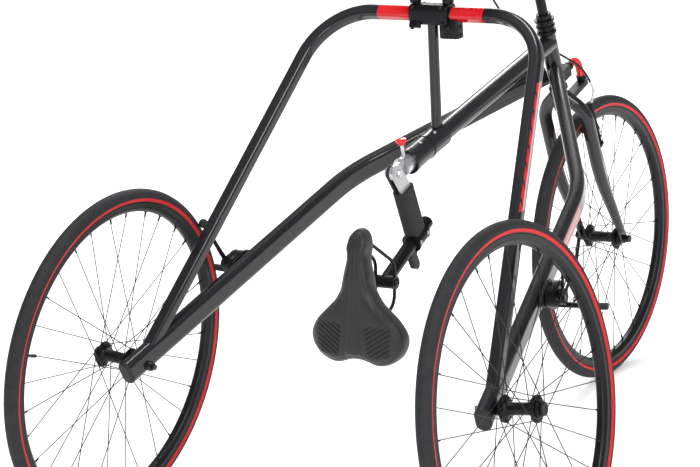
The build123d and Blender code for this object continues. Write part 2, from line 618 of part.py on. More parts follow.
# Handlebar, swept back to its grips
bar_end = bar_centre + Vector(-BAR_SWEEP, BAR_HALF_WIDTH, BAR_RISE)
bar_bend = bar_centre + Vector(-BAR_BEND_SWEEP, BAR_BEND_Y, BAR_RISE)
bar_start = bar_centre + LEFT * BAR_STRAIGHT
bar_points = [bar_end, bar_bend, bar_start, across(bar_start), across(bar_bend), across(bar_end)]
bar_solid = swept(bar_points, BAR_BEND_RADIUS, Circle(BAR_DIAMETER / 2))
save(bar_solid, "handlebar")
save(stem_solid + cross_rod(bar_centre, BAR_CLAMP_WIDTH / 2, BAR_CLAMP_DIAMETER) - bar_solid, "stem_tube")
grip_axis = (bar_bend - bar_end).normalized()
grip = rod(bar_end - grip_axis * GRIP_END, bar_end + grip_axis * GRIP_LENGTH, GRIP_DIAMETER)
grip_bore = rod(bar_end - grip_axis * SEAT_GAP, bar_bend, BAR_DIAMETER + 2 * SEAT_GAP)
save_pair(grip - grip_bore, "grip")

# Brake lever: a clamp inside the left grip, a body below it and a blade under the grip
lever_down = grip_axis.cross(Vector(0, 0, 1)).normalized() * -LEVER_LEAN - Vector(0, 0, 1)
lever_down = (lever_down - grip_axis * lever_down.dot(grip_axis)).normalized()
clamp_start = bar_end + grip_axis * (GRIP_LENGTH + LEVER_GAP)
clamp_centre = clamp_start + grip_axis * (LEVER_CLAMP_WIDTH / 2)
lever_body_centre = clamp_centre + lever_down * LEVER_DROP
brake_lever = rod(clamp_start, clamp_start + grip_axis * LEVER_CLAMP_WIDTH, LEVER_CLAMP_DIAMETER)
brake_lever += rod(clamp_centre, lever_body_centre, LEVER_CLAMP_WIDTH)
body_front = lever_body_centre + grip_axis * LEVER_BODY
brake_lever += rod(lever_body_centre - grip_axis * LEVER_BODY / 2, body_front, LEVER_BODY)
blade_end = lever_body_centre - grip_axis * LEVER_BLADE_LENGTH
brake_lever += rod(lever_body_centre, blade_end, LEVER_BLADE_DIAMETER)
brake_lever += Pos(blade_end) * Sphere(LEVER_BALL / 2)
bar_run = rod(bar_end, bar_bend, BAR_DIAMETER + 2 * PIN_CLEARANCE)
save(brake_lever - bar_run - bar_solid, "brake_lever")

# Brake cable, from the lever's body down to the bent pipe
cable_points = [body_front, *(steered(*place) for place in CABLE_ROUTE), pipe_high]
cable = swept(cable_points, CABLE_RADIUS, Circle(CABLE_DIAMETER / 2))
save(cable - brake_lever - pipe, "brake_cable")

# Saddle carrier: bright tube in the sleeve, with a lug behind it
pivot = on_centre(PIVOT_X)
carrier_end = on_centre(CARRIER_END_X)
carrier = rod(carrier_end, sleeve_rear + centre_axis * CARRIER_INSERT, CARRIER_DIAMETER)
lug_run = (carrier_end - pivot).length
lug_plane = Plane(origin=pivot + centre_axis * lug_run / 2, x_dir=centre_axis, z_dir=LEFT)
lug = extrude(lug_plane * SlotCenterToCenter(lug_run, 2 * LUG_RADIUS), LUG_THICKNESS / 2, both=True)
pivot_bore = cross_rod(pivot, CARRIER_DIAMETER, PIVOT_DIAMETER + 2 * PIN_CLEARANCE)
save(carrier + lug - pivot_bore, "saddle_carrier")

# Red release knob on a bright stem, on top of the carrier
knob_root = sleeve_rear - centre_axis * KNOB_OFFSET
knob_base = knob_root + centre_normal * (CARRIER_DIAMETER / 2 + KNOB_STEM_LENGTH)
save(rod(knob_root, knob_base, KNOB_STEM_DIAMETER) - carrier, "release_stem")
knob = rod(knob_base, knob_base + centre_normal * KNOB_HEIGHT, KNOB_DIAMETER)
save(fillet(knob.edges().sort_by(Axis.Z)[-1], KNOB_ROUND), "release_knob")

# Saddle arm: plates on the pivot, an oval tube and the seat post's clamp
arm_axis = Vector(sin(radians(ARM_LEAN)), 0, -cos(radians(ARM_LEAN)))
arm_head = at(ARM_LINE_X, 0, pivot.Z)
arm_foot = arm_head + arm_axis * ARM_LENGTH
arm_top = arm_head + arm_axis * ARM_START
plate_inner = LUG_THICKNESS / 2 + SEAT_GAP
plate_foot = arm_head + arm_axis * (ARM_START + ARM_PLUG)
plate_line = plate_foot - pivot
arm_plane = Plane(origin=arm_top, x_dir=LEFT, z_dir=arm_axis)
arm_section = RectangleRounded(ARM_WIDTH, ARM_DEPTH, ARM_CORNER)
arm_tube = extrude(arm_plane * arm_section, ARM_LENGTH - ARM_START)
for side, name in ((-1, "clevis_plate_right"), (1, "clevis_plate_left")):
    plate_side = side * (plate_inner + CLEVIS_PLATE_THICKNESS / 2)
    plate_plane = Plane(origin=pivot + plate_line / 2 + LEFT * plate_side, x_dir=plate_line, z_dir=LEFT)
    plate = plate_plane * SlotCenterToCenter(plate_line.length, CLEVIS_PLATE_WIDTH)
    plate = extrude(plate, CLEVIS_PLATE_THICKNESS / 2, both=True)
    save(plate - pivot_bore, name)
    arm_tube -= plate
post_axis = Vector(cos(radians(SEAT_POST_RISE)), 0, sin(radians(SEAT_POST_RISE)))
post_normal = Vector(-post_axis.Z, 0, post_axis.X)
clamp_half = post_axis * (POST_CLAMP_LENGTH / 2)
clamp_run = post_axis * (2 * POST_CLAMP_LENGTH)
clamp_room = rod(arm_foot - clamp_run, arm_foot + clamp_run, POST_CLAMP_DIAMETER)
save(arm_tube - clamp_room, "saddle_arm")
post_clamp = rod(arm_foot - clamp_half, arm_foot + clamp_half, POST_CLAMP_DIAMETER)
post_bore = rod(arm_foot - clamp_run, arm_foot + clamp_run, SEAT_POST_DIAMETER + 2 * PIN_CLEARANCE)
save(post_clamp - post_bore, "seat_post_clamp")
pin_half = plate_inner + CLEVIS_PLATE_THICKNESS
pivot_pin = cross_rod(pivot, pin_half, PIVOT_DIAMETER)
pin_head = rod(pivot + LEFT * pin_half, pivot + LEFT * (pin_half + PIN_HEAD_WIDTH), PIN_HEAD_DIAMETER)
pivot_pin += fillet(pin_head.edges().sort_by(Axis.Y)[-1], PIN_HEAD_ROUND)
pivot_pin += rod(pivot - LEFT * (pin_half + PIN_TAIL_WIDTH), pivot - LEFT * pin_half, PIN_TAIL_DIAMETER)
save(pivot_pin, "pivot_pin")

# Clamp lever: a paddle on the end of the clamp's bolt
bolt_centre = arm_foot - post_normal * (POST_CLAMP_DIAMETER / 2) - post_axis * CLAMP_BOLT_BEHIND
paddle_centre = arm_foot - post_axis * CLAMP_LEVER_BEHIND - post_normal * CLAMP_LEVER_DROP
clamp_bolt = rod(bolt_centre, paddle_centre, CLAMP_BOLT_DIAMETER)
paddle_plane = Plane(origin=paddle_centre, x_dir=post_normal, z_dir=LEFT)
paddle = paddle_plane * SlotCenterToCenter(CLAMP_LEVER_LENGTH, CLAMP_LEVER_WIDTH)
paddle = extrude(paddle, CLAMP_LEVER_THICKNESS / 2, both=True)
post_low = arm_foot - post_axis * SEAT_POST_BEHIND
post_room = rod(post_low, arm_foot, SEAT_POST_DIAMETER + 2 * CLAMP_LEVER_ROOM)
save(clamp_bolt + paddle - post_clamp - post_room, "clamp_lever")

# Seat post, its upper end rounded
post_high = arm_foot + post_axis * SEAT_POST_AHEAD
saddle_clamp_solid = cross_rod(post_low, SADDLE_CLAMP_WIDTH / 2, SADDLE_CLAMP_DIAMETER)
seat_post = rod(post_low, post_high, SEAT_POST_DIAMETER)
seat_post = fillet(seat_post.edges().filter_by(GeomType.CIRCLE).sort_by(Axis.X)[-1], POST_CAP_ROUND)
save(seat_post - saddle_clamp_solid, "seat_post")

# Saddle: a closed soft form in its own plane, x to the left, y from the tail to the nose
saddle_up = Vector(sin(radians(SADDLE_TILT)), 0, cos(radians(SADDLE_TILT)))
saddle_in = Vector(cos(radians(SADDLE_TILT)), 0, -sin(radians(SADDLE_TILT)))
saddle_plane = Plane(origin=at(SADDLE_TAIL_X, 0, SADDLE_TAIL_Z), x_dir=-LEFT, z_dir=-saddle_in)
saddle_points = [(0, SADDLE_NOTCH), *SADDLE_OUTLINE, (0, SADDLE_LENGTH)]
saddle = None
for share, inset in SADDLE_LAYERS:
    middle = SADDLE_LENGTH * SADDLE_MIDDLE
    layer_points = [(half * share, middle + (up - middle) * share) for half, up in saddle_points]
    half_outline = Spline(*layer_points, tangents=[(1, 0), (-1, 0)])
    layer_face = make_face(Curve() + [half_outline, mirror(half_outline, about=Plane.YZ)])
    layer = extrude(saddle_plane * Pos(0, 0, -inset) * layer_face, amount=2 * inset - SADDLE_DEPTH)
    saddle = layer if saddle is None else saddle + layer


def on_saddle(side, up, depth):
    """A point in the saddle's own directions, depth counted forward from its top."""
    return at(SADDLE_TAIL_X, side, SADDLE_TAIL_Z) + saddle_up * up + saddle_in * depth


# Saddle rails, one bent wire each side, held in the clamp
clamp_height = (post_low - at(SADDLE_TAIL_X, 0, SADDLE_TAIL_Z)).dot(saddle_up)
clamp_depth = (post_low - at(SADDLE_TAIL_X, 0, SADDLE_TAIL_Z)).dot(saddle_in)
wires = []
for side in (-1, 1):
    wire_points = [
        on_saddle(side * WIRE_NOSE_Y, clamp_height + WIRE_NOSE_REACH, SADDLE_DEPTH - WIRE_BURY),
        on_saddle(side * WIRE_Y, clamp_height + WIRE_HALF_RUN, clamp_depth),
        on_saddle(side * WIRE_Y, clamp_height - WIRE_HALF_RUN, clamp_depth),
        on_saddle(side * WIRE_TAIL_Y, clamp_height - WIRE_TAIL_REACH, SADDLE_DEPTH - WIRE_BURY),
    ]
    wires.append(swept(wire_points, WIRE_RADIUS, Circle(WIRE_DIAMETER / 2)))
save(Compound(wires), "saddle_rails")
save(saddle_clamp_solid - wires[0] - wires[1], "saddle_clamp")
wire_room = Compound([offset(wire, SEAT_GAP) for wire in wires])
save(saddle - wire_room, "saddle")

# Chest rest: collar on the hoop with a lug below it, uprights, curved plate and pad
collar = Pos(hoop_top) * Box(COLLAR_SIZE, 2 * COLLAR_HALF, COLLAR_SIZE)
collar_lug = Pos(hoop_top - LEFT * COLLAR_LUG_Y - Vector(0, 0, COLLAR_LUG[2])) * Box(*COLLAR_LUG)
save(collar + collar_lug - hoop_solid - hoop_post, "chest_collar")
curve_reach = sqrt(CHEST_PLATE_CURVE**2 - (UPRIGHT_SPACING / 2) ** 2)
# the plate's back is let into the uprights by a seat, so that the faces meet
curve_x = HOOP_TOP_X - UPRIGHT_DIAMETER / 2 + UPRIGHT_SEAT - curve_reach
curve_centre = at(curve_x, 0, CHEST_PLATE_Z)
plate_centre = at(HOOP_TOP_X, 0, CHEST_PLATE_Z)
plate_wedge = Pos(plate_centre) * Box(CHEST_PLATE_CURVE, CHEST_PLATE_WIDTH, CHEST_PLATE_HEIGHT)


def curved_plate(outer, inner):
    """Upright curved plate between two radii, trimmed to the chest plate's outline."""
    shell = Pos(curve_centre) * (Cylinder(outer, CHEST_PLATE_HEIGHT) - Cylinder(inner, CHEST_PLATE_HEIGHT))
    return shell & plate_wedge


plate_radius = CHEST_PLATE_CURVE - CHEST_PLATE_THICKNESS
pad_radius = plate_radius - SEAT_GAP
save(curved_plate(CHEST_PLATE_CURVE, plate_radius), "chest_plate")
save(curved_plate(pad_radius, pad_radius - CHEST_PAD_THICKNESS), "chest_pad")
curve_solid = Pos(curve_centre) * Cylinder(CHEST_PLATE_CURVE, 3 * CHEST_PLATE_HEIGHT)
uprights = []
for side in (-1, 1):
    upright_foot = hoop_top + Vector(0, side * UPRIGHT_SPACING / 2, COLLAR_SIZE / 2)
    upright_top = Vector(upright_foot.X, upright_foot.Y, UPRIGHT_TOP_Z)
    uprights.append(rod(upright_foot, upright_top, UPRIGHT_DIAMETER) - curve_solid)
save(Compound(uprights), "chest_uprights")

# Parking brake on each rail: strap, plate, boss, link and the bar in front of the tyre
rail_centre = rail_axle_point + rail_axis * (PARKING_X / rail_axis.X)
strap_plane = Plane(origin=rail_centre, x_dir=rail_side, z_dir=rail_axis)
strap_width, strap_height = RAIL_WIDTH + 2 * PARKING_STRAP[1], RAIL_HEIGHT + 2 * PARKING_STRAP[1]
strap = strap_plane * RectangleRounded(strap_width, strap_height, RAIL_CORNER + PARKING_STRAP[1])
strap = extrude(strap, PARKING_STRAP[0] / 2, both=True)
parking_plane = Plane(origin=rail_centre + rail_side * RAIL_WIDTH / 2, x_dir=-rail_axis, z_dir=rail_side)


def on_brake(place):
    """A point of the parking brake: rearward, up and outward from the rail's side."""
    return parking_plane.from_local_coords(Vector(*place))


plate_top = PARKING_PLATE[2]
parking = strap + block(parking_plane, (0, 0, plate_top / 2), PARKING_PLATE)
boss_ends = [on_brake((PARKING_BOSS_OFFSET, 0, level)) for level in (0, plate_top + PARKING_BOSS_HEIGHT)]
parking += rod(*boss_ends, PARKING_BOSS_DIAMETER)
link_start = Vector(PARKING_BOSS_OFFSET, 0, plate_top)
link_end = Vector(PARKING_BAR[0], PARKING_BAR[1], plate_top)
link_line = link_end - link_start
link_middle = on_brake(link_start + link_line / 2)
link_plane = Plane(origin=link_middle, x_dir=on_brake(link_end) - link_middle, z_dir=rail_side)
link = link_plane * SlotCenterToCenter(link_line.length, PARKING_LINK_WIDTH)
parking += extrude(link, PARKING_LINK_THICKNESS)
parking += rod(on_brake(link_end), on_brake(PARKING_BAR), PARKING_BAR_DIAMETER)
save_pair(parking - rail_solid, "parking_brake")
lever_root = on_brake((PARKING_BOSS_OFFSET, 0, plate_top + PARKING_BOSS_HEIGHT / 2))
lever_tip = on_brake(PARKING_LEVER_TIP)
parking_lever = rod(lever_root, lever_tip, PARKING_LEVER_DIAMETER)
parking_lever += Pos(lever_tip) * Sphere(PARKING_KNOB / 2)
save_pair(parking_lever - parking, "parking_lever")
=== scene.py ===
"""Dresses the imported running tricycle: finishes, wheels, soft parts, fittings and the studio."""

import json
import logging
import math
from dataclasses import dataclass, field
from enum import Enum
from typing import Any, Callable, Iterable, Optional, Sequence, Union

import bmesh
import bpy
from mathutils import Matrix, Vector


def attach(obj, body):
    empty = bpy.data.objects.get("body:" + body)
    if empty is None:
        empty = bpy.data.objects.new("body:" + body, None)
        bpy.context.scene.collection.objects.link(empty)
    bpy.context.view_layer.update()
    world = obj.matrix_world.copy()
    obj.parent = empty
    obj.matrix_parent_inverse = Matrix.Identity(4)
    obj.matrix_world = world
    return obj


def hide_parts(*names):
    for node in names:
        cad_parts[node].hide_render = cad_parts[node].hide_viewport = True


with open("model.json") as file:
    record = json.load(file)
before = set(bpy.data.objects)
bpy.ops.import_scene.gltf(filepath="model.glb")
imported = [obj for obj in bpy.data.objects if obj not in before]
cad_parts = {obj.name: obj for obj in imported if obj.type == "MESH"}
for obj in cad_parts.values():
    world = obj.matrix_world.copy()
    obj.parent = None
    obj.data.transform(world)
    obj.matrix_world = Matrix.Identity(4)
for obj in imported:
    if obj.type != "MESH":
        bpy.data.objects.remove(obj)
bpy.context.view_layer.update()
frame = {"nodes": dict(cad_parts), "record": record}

LOG = logging.getLogger("tricycle")

Number = Union[int, float]
Colour = tuple[float, float, float]
Link = Union["Value", Number, Sequence[float]]
Outline = list[tuple[float, float]]

STRIPE_RED: Colour = (0.50, 0.007, 0.010)
STRIPE_GREY: Colour = (0.30, 0.30, 0.31)
SLEEVE_REAR = (-0.20125, 0.0, 0.6805)
REAR_BORE = 0.00605
FRONT_BORE = 0.00455


def lifted(colour: Colour, gain: float, offset: float) -> Colour:
    """A paler tone of a colour, for its dusty or worn patches."""
    return tuple(min(1.0, part * gain + offset) for part in colour)


def limited(value: float) -> float:
    """A number held between 0 and 1."""
    return min(1.0, max(0.0, value))


def vector(*parts: float) -> Any:
    """A dataclass field that has a vector as its default."""
    return field(default_factory=lambda: Vector(parts))


class Value:
    """A shader value: one output socket, with the arithmetic that the finishes use."""

    def __init__(self, graph: "Graph", socket: bpy.types.NodeSocket) -> None:
        """Keep the graph that the socket belongs to.

        Args:
            graph: the material's graph.
            socket: the output socket that carries the value.
        """
        self.graph = graph
        self.socket = socket

    def _math(self, operation: str, first: Link, second: Link = 0.0) -> "Value":
        """Add one Math node and return its result."""
        return self.graph.node("ShaderNodeMath", {"operation": operation}, {0: first, 1: second})

    def __add__(self, other: Link) -> "Value":
        """This value plus another."""
        return self._math("ADD", self, other)

    __radd__ = __add__

    def __sub__(self, other: Link) -> "Value":
        """This value less another."""
        return self._math("SUBTRACT", self, other)

    def __rsub__(self, other: Link) -> "Value":
        """Another value less this one."""
        return self._math("SUBTRACT", other, self)

    def __mul__(self, other: Link) -> "Value":
        """This value times another."""
        return self._math("MULTIPLY", self, other)

    __rmul__ = __mul__

    def __truediv__(self, other: Link) -> "Value":
        """This value over another."""
        return self._math("DIVIDE", self, other)

    def __gt__(self, other: Link) -> "Value":
        """1 where this value is the greater, else 0."""
        return self._math("GREATER_THAN", self, other)

    def size(self) -> "Value":
        """This value without its sign."""
        return self._math("ABSOLUTE", self)

    def least(self, other: Link) -> "Value":
        """The smaller of two values."""
        return self._math("MINIMUM", self, other)

    def most(self, other: Link) -> "Value":
        """The greater of two values."""
        return self._math("MAXIMUM", self, other)

    def band(self, low: Number, high: Number, soft: Number) -> "Value":
        """1 between two limits, fading to 0 over a soft edge.

        Args:
            low: lower limit.
            high: upper limit.
            soft: width of each edge.

        Returns:
            The mask.
        """
        middle, half = (low + high) / 2, (high - low) / 2
        edge = (half - (self - middle).size()) / soft + 0.5
        return edge.least(1.0).most(0.0)

    def wave(self, period: Number) -> "Value":
        """A sine of this value, from -1 to 1, with the given period."""
        return self._math("SINE", self * (2 * math.pi / period))


class Graph:
    """A new material's node graph, with its surface shader."""

    def __init__(self, name: str) -> None:
        """Make the material.

        Args:
            name: the material's name.
        """
        self.material = bpy.data.materials.new(name)
        self.material.use_nodes = True
        self.tree = self.material.node_tree
        self.surface = self.tree.nodes["Principled BSDF"]

    def node(
        self, kind: str, settings: dict[str, Any], inputs: dict[Any, Link], output: Any = 0
    ) -> Value:
        """Add any node: its settings first, then its sockets.

        Args:
            kind: the node's type.
            settings: the node's own properties.
            inputs: values or links by socket name or number.
            output: name or number of the socket to return.

        Returns:
            The chosen output.
        """
        node = self.tree.nodes.new(kind)
        for key, setting in settings.items():
            setattr(node, key, setting)
        for key, link in inputs.items():
            self.feed(node.inputs[key], link)
        return Value(self, node.outputs[output])

    def feed(self, socket: bpy.types.NodeSocket, link: Link) -> None:
        """Give a socket a value or a link.

        Args:
            socket: the input socket.
            link: a number, a vector or colour, or another node's value.
        """
        if isinstance(link, Value):
            self.tree.links.new(link.socket, socket)
        elif isinstance(link, (int, float)):
            socket.default_value = float(link)
        else:
            size = len(socket.default_value)
            socket.default_value = (*link, 1.0)[:size] if len(link) < size else tuple(link)[:size]

    def set(self, **links: Link) -> "Graph":
        """Set sockets of the surface shader by name, with underscores for spaces."""
        for name, link in links.items():
            self.feed(self.surface.inputs[name.replace("_", " ")], link)
        return self

    def feeding(self, name: str) -> Value:
        """The value that already feeds a socket of the surface shader."""
        return Value(self, self.surface.inputs[name].links[0].from_socket)

    def place(self) -> Value:
        """The point in the object's own frame, in metres."""
        return self.node("ShaderNodeTexCoord", {}, {}, "Object")

    def part(self, vector: Value, axis: str) -> Value:
        """One component of a vector."""
        return self.node("ShaderNodeSeparateXYZ", {}, {0: vector}, axis)

    def noise(self, scale: Number, detail: Number = 3.0, vector: Optional[Value] = None) -> Value:
        """Cloudy noise from 0 to 1."""
        where = self.place() if vector is None else vector
        inputs = {"Vector": where, "Scale": scale, "Detail": detail}
        return self.node("ShaderNodeTexNoise", {}, inputs)

    def blend(self, factor: Link, first: Link, second: Link) -> Value:
        """Mix two colours, through the Mix node's sockets for its colour mode.

        Args:
            factor: share of the second colour.
            first: the first colour.
            second: the second colour.

        Returns:
            The mixed colour.
        """
        inputs = {0: factor, 6: first, 7: second}
        return self.node("ShaderNodeMix", {"data_type": "RGBA"}, inputs, 2)

    def bump(self, height: Value, distance: Number, strength: Number = 1.0) -> Value:
        """A normal from a height, its distance in metres."""
        inputs = {"Height": height, "Distance": distance, "Strength": strength}
        return self.node("ShaderNodeBump", {}, inputs, "Normal")

    def radius_from(self, centre: Sequence[float], axis: Sequence[float]) -> Value:
        """Distance of the shaded point from a line.

        Args:
            centre: a point on the line.
            axis: the line's unit direction.

        Returns:
            The distance, in metres.
        """
        kind = "ShaderNodeVectorMath"
        arm = self.node(kind, {"operation": "SUBTRACT"}, {0: self.place(), 1: centre})
        turned = self.node(kind, {"operation": "CROSS_PRODUCT"}, {0: arm, 1: axis})
        return self.node(kind, {"operation": "LENGTH"}, {0: turned}, "Value")


@dataclass(frozen=True)
class Enamel:
    """Satin paint over tube, with faint mottling and orange peel."""

    name: str
    colour: Colour
    roughness: float = 0.30
    coat: float = 0.6

    def graph(self) -> Graph:
        """Make the finish.

        Returns:
            The material's graph.
        """
        graph = Graph(self.name)
        dust = graph.noise(9.0, 4.0)
        graph.set(
            Base_Color=graph.blend(dust * 0.6, self.colour, lifted(self.colour, 1.6, 0.006)),
            Roughness=dust * 0.12 + self.roughness,
            Coat_Weight=self.coat,
            Coat_Roughness=0.07,
            Specular_IOR_Level=0.22,
            Normal=graph.bump(graph.noise(420.0, 2.0), 0.00012, 0.35),
        )
        return graph


@dataclass(frozen=True)
class BandedEnamel(Enamel):
    """The hoop's paint: black, a glossy red band each side of its middle, and striped legs.

    Attributes:
        red: colour of the bands and of the outer stripes.
        grey: colour of the middle stripe.
        band_start: where a band starts, out from the hoop's middle.
        band_end: where it ends.
        band_height: the bands show above this height.
        leg_foot: foot of the left leg's axis.
        leg_lean: the axis's run ahead and outward for each metre of rise.
        leg_square: turns a level run ahead into one square to the leg.
        face_start: the stripes show outward of this distance from the axis.
        stripe_low: height where the stripes start.
        stripe_high: height where they end.
        slant_rake: slope of the gaps in the broken stripe.
        slant_period: spacing of the gaps.
        slant_gap: height of the wave under which a gap is open.
    """

    red: Colour = STRIPE_RED
    grey: Colour = STRIPE_GREY
    band_start: float = 0.048
    band_end: float = 0.123
    band_height: float = 0.90
    leg_foot: tuple[float, float, float] = (-0.58775, 0.394, 0.364)
    leg_lean: tuple[float, float] = (0.868, -0.2407)
    leg_square: float = 0.755
    face_start: float = 0.0105
    stripe_low: float = 0.640
    stripe_high: float = 0.850
    slant_rake: float = 2.4
    slant_period: float = 0.058
    slant_gap: float = 0.35

    def graph(self) -> Graph:
        """Make the finish.

        Returns:
            The material's graph.
        """
        graph = super().graph()
        place = graph.place()
        across = graph.part(place, "Y").size()
        height = graph.part(place, "Z")
        band = across.band(self.band_start, self.band_end, 0.0006) * (height > self.band_height)
        rise = height - self.leg_foot[2]
        ahead = graph.part(place, "X") - (rise * self.leg_lean[0] + self.leg_foot[0])
        ahead = ahead * self.leg_square
        outward = across - (rise * self.leg_lean[1] + self.leg_foot[1])
        face = (outward > self.face_start) * height.band(self.stripe_low, self.stripe_high, 0.0006)
        slant = (height + ahead * self.slant_rake).wave(self.slant_period).size() > self.slant_gap
        broken = ahead.band(-0.0095, -0.0030, 0.0004) * slant
        red = (broken + ahead.band(0.0052, 0.0078, 0.0004)) * face
        grey = ahead.band(-0.0018, 0.0038, 0.0004) * face
        mask = (band + red).least(1.0)
        black = graph.feeding("Base Color")
        rough = graph.feeding("Roughness")
        graph.set(
            Base_Color=graph.blend(mask, graph.blend(grey, black, self.grey), self.red),
            Roughness=rough * (1 - mask * 0.5),
        )
        return graph


@dataclass(frozen=True)
class RailEnamel(Enamel):
    """The side rails' paint: black with short stripes on the outer side, behind the bend.

    Attributes:
        red: colour of the outer stripes.
        grey: colour of the middle stripe.
        start: a point of the left rail's axis.
        lean: the axis's run outward and upward for each metre ahead.
        rail_square: turns a plumb rise into one square to the rail.
        face_start: the stripes show outward of this distance from the axis.
        stripe_low: where the stripes start, along the tricycle.
        stripe_high: where they end.
    """

    red: Colour = STRIPE_RED
    grey: Colour = STRIPE_GREY
    start: tuple[float, float, float] = (-0.60325, 0.396, 0.3443)
    lean: tuple[float, float] = (-0.2, 0.4011)
    rail_square: float = 0.93
    face_start: float = 0.0118
    stripe_low: float = -0.190
    stripe_high: float = -0.045

    def graph(self) -> Graph:
        """Make the finish.

        Returns:
            The material's graph.
        """
        graph = super().graph()
        place = graph.place()
        run = graph.part(place, "X")
        ahead = run - self.start[0]
        across = graph.part(place, "Y").size() - (ahead * self.lean[0] + self.start[1])
        rise = graph.part(place, "Z") - (ahead * self.lean[1] + self.start[2])
        rise = rise * self.rail_square
        face = (across > self.face_start) * run.band(self.stripe_low, self.stripe_high, 0.0008)
        red = (rise.band(-0.0120, -0.0050, 0.0005) + rise.band(0.0030, 0.0100, 0.0005)) * face
        grey = rise.band(-0.0034, 0.0014, 0.0004) * face
        striped = graph.blend(grey, graph.feeding("Base Color"), self.grey)
        graph.set(Base_Color=graph.blend(red.least(1.0), striped, self.red))
        return graph


@dataclass(frozen=True)
class Metal:
    """Bare or anodised metal with fine turning marks."""

    name: str
    colour: Colour
    roughness: float
    metallic: float = 1.0
    grain: float = 0.00006

    def graph(self) -> Graph:
        """Make the finish.

        Returns:
            The material's graph.
        """
        graph = Graph(self.name)
        cloud = graph.noise(24.0, 5.0)
        worn = tuple(part * 0.72 for part in self.colour)
        graph.set(
            Base_Color=graph.blend(cloud, worn, self.colour),
            Metallic=self.metallic,
            Roughness=cloud * 0.14 + (self.roughness - 0.07),
            Specular_IOR_Level=0.30,
            Normal=graph.bump(graph.noise(900.0, 2.0), self.grain, 0.4),
        )
        return graph


@dataclass(frozen=True)
class TyreRubber:
    """Slick tyre rubber with a coloured stripe round each side."""

    name: str
    stripe: Colour
    centre: tuple[float, float, float]
    axis: tuple[float, float, float]
    stripe_low: float
    stripe_high: float

    def graph(self) -> Graph:
        """Make the finish.

        Returns:
            The material's graph.
        """
        graph = Graph(self.name)
        radius = graph.radius_from(self.centre, self.axis)
        mask = radius.band(self.stripe_low, self.stripe_high, 0.0005)
        cloud = graph.noise(60.0, 4.0)
        rubber = graph.blend(cloud, (0.009, 0.009, 0.011), (0.026, 0.026, 0.029))
        tread = (radius > self.stripe_high + 0.0090) * graph.noise(900.0, 2.0) * 2.4
        cord_lines = radius.wave(0.0011) * 0.5 + cloud * 0.6 + tread
        graph.set(
            Base_Color=graph.blend(mask, rubber, self.stripe),
            Roughness=cloud * 0.18 + 0.55 - mask * 0.18,
            Specular_IOR_Level=0.22,
            Normal=graph.bump(cord_lines, 0.00022, 0.6),
        )
        return graph


@dataclass(frozen=True)
class Moulded:
    """Moulded plastic or rubber with a fine pebbled skin."""

    name: str
    colour: Colour
    roughness: float
    pebble: float = 0.00012
    pebble_scale: float = 650.0
    coat: float = 0.0
    shine: float = 0.28

    def graph(self) -> Graph:
        """Make the finish.

        Returns:
            The material's graph.
        """
        graph = Graph(self.name)
        cloud = graph.noise(30.0, 4.0)
        graph.set(
            Base_Color=graph.blend(cloud * 0.7, self.colour, lifted(self.colour, 1.5, 0.008)),
            Roughness=cloud * 0.16 + self.roughness,
            Specular_IOR_Level=self.shine,
            Coat_Weight=self.coat,
            Normal=graph.bump(graph.noise(self.pebble_scale, 3.0), self.pebble, 0.5),
        )
        return graph


@dataclass(frozen=True)
class Vinyl:
    """Soft vinyl skin: leather grain, sheen and faint creases."""

    name: str
    colour: Colour
    roughness: float = 0.42

    def graph(self) -> Graph:
        """Make the finish.

        Returns:
            The material's graph.
        """
        graph = Graph(self.name)
        place = graph.place()
        grain = {"Vector": place, "Scale": 620.0}
        cells = graph.node("ShaderNodeTexVoronoi", {"feature": "F1"}, grain, "Distance")
        crease = graph.noise(18.0, 6.0)
        graph.set(
            Base_Color=graph.blend(crease * 0.8, self.colour, lifted(self.colour, 1.9, 0.01)),
            Roughness=crease * 0.22 + (self.roughness - 0.08),
            Specular_IOR_Level=0.30,
            Sheen_Weight=0.12,
            Normal=graph.bump(cells + crease * 0.8, 0.00025, 0.55),
        )
        return graph


@dataclass(frozen=True)
class Floor:
    """Pale floor that keeps the object's shadow and glows with distance, into the white world.

    Attributes:
        name: the finish's name.
        colour: the floor's own colour.
        glow_start: how far out the glow starts to grow.
        glow_rate: how much it grows with each metre.
        near_glow: the glow under the object.
        far_glow: the glow far out.
    """

    name: str = "studio_floor"
    colour: Colour = (0.90, 0.90, 0.90)
    glow_start: float = 1.3
    glow_rate: float = 0.5
    near_glow: Colour = (0.02, 0.02, 0.02)
    far_glow: Colour = (0.40, 0.40, 0.40)

    def graph(self) -> Graph:
        """Make the finish.

        Returns:
            The material's graph.
        """
        graph = Graph(self.name)
        beyond = graph.radius_from((0, 0, 0), (0, 0, 1)) - self.glow_start
        far = (beyond * self.glow_rate).most(0.0).least(1.0)
        graph.set(
            Base_Color=self.colour,
            Roughness=0.9,
            Specular_IOR_Level=0.1,
            Emission_Strength=1.0,
            Emission_Color=graph.blend(far, self.near_glow, self.far_glow),
        )
        return graph


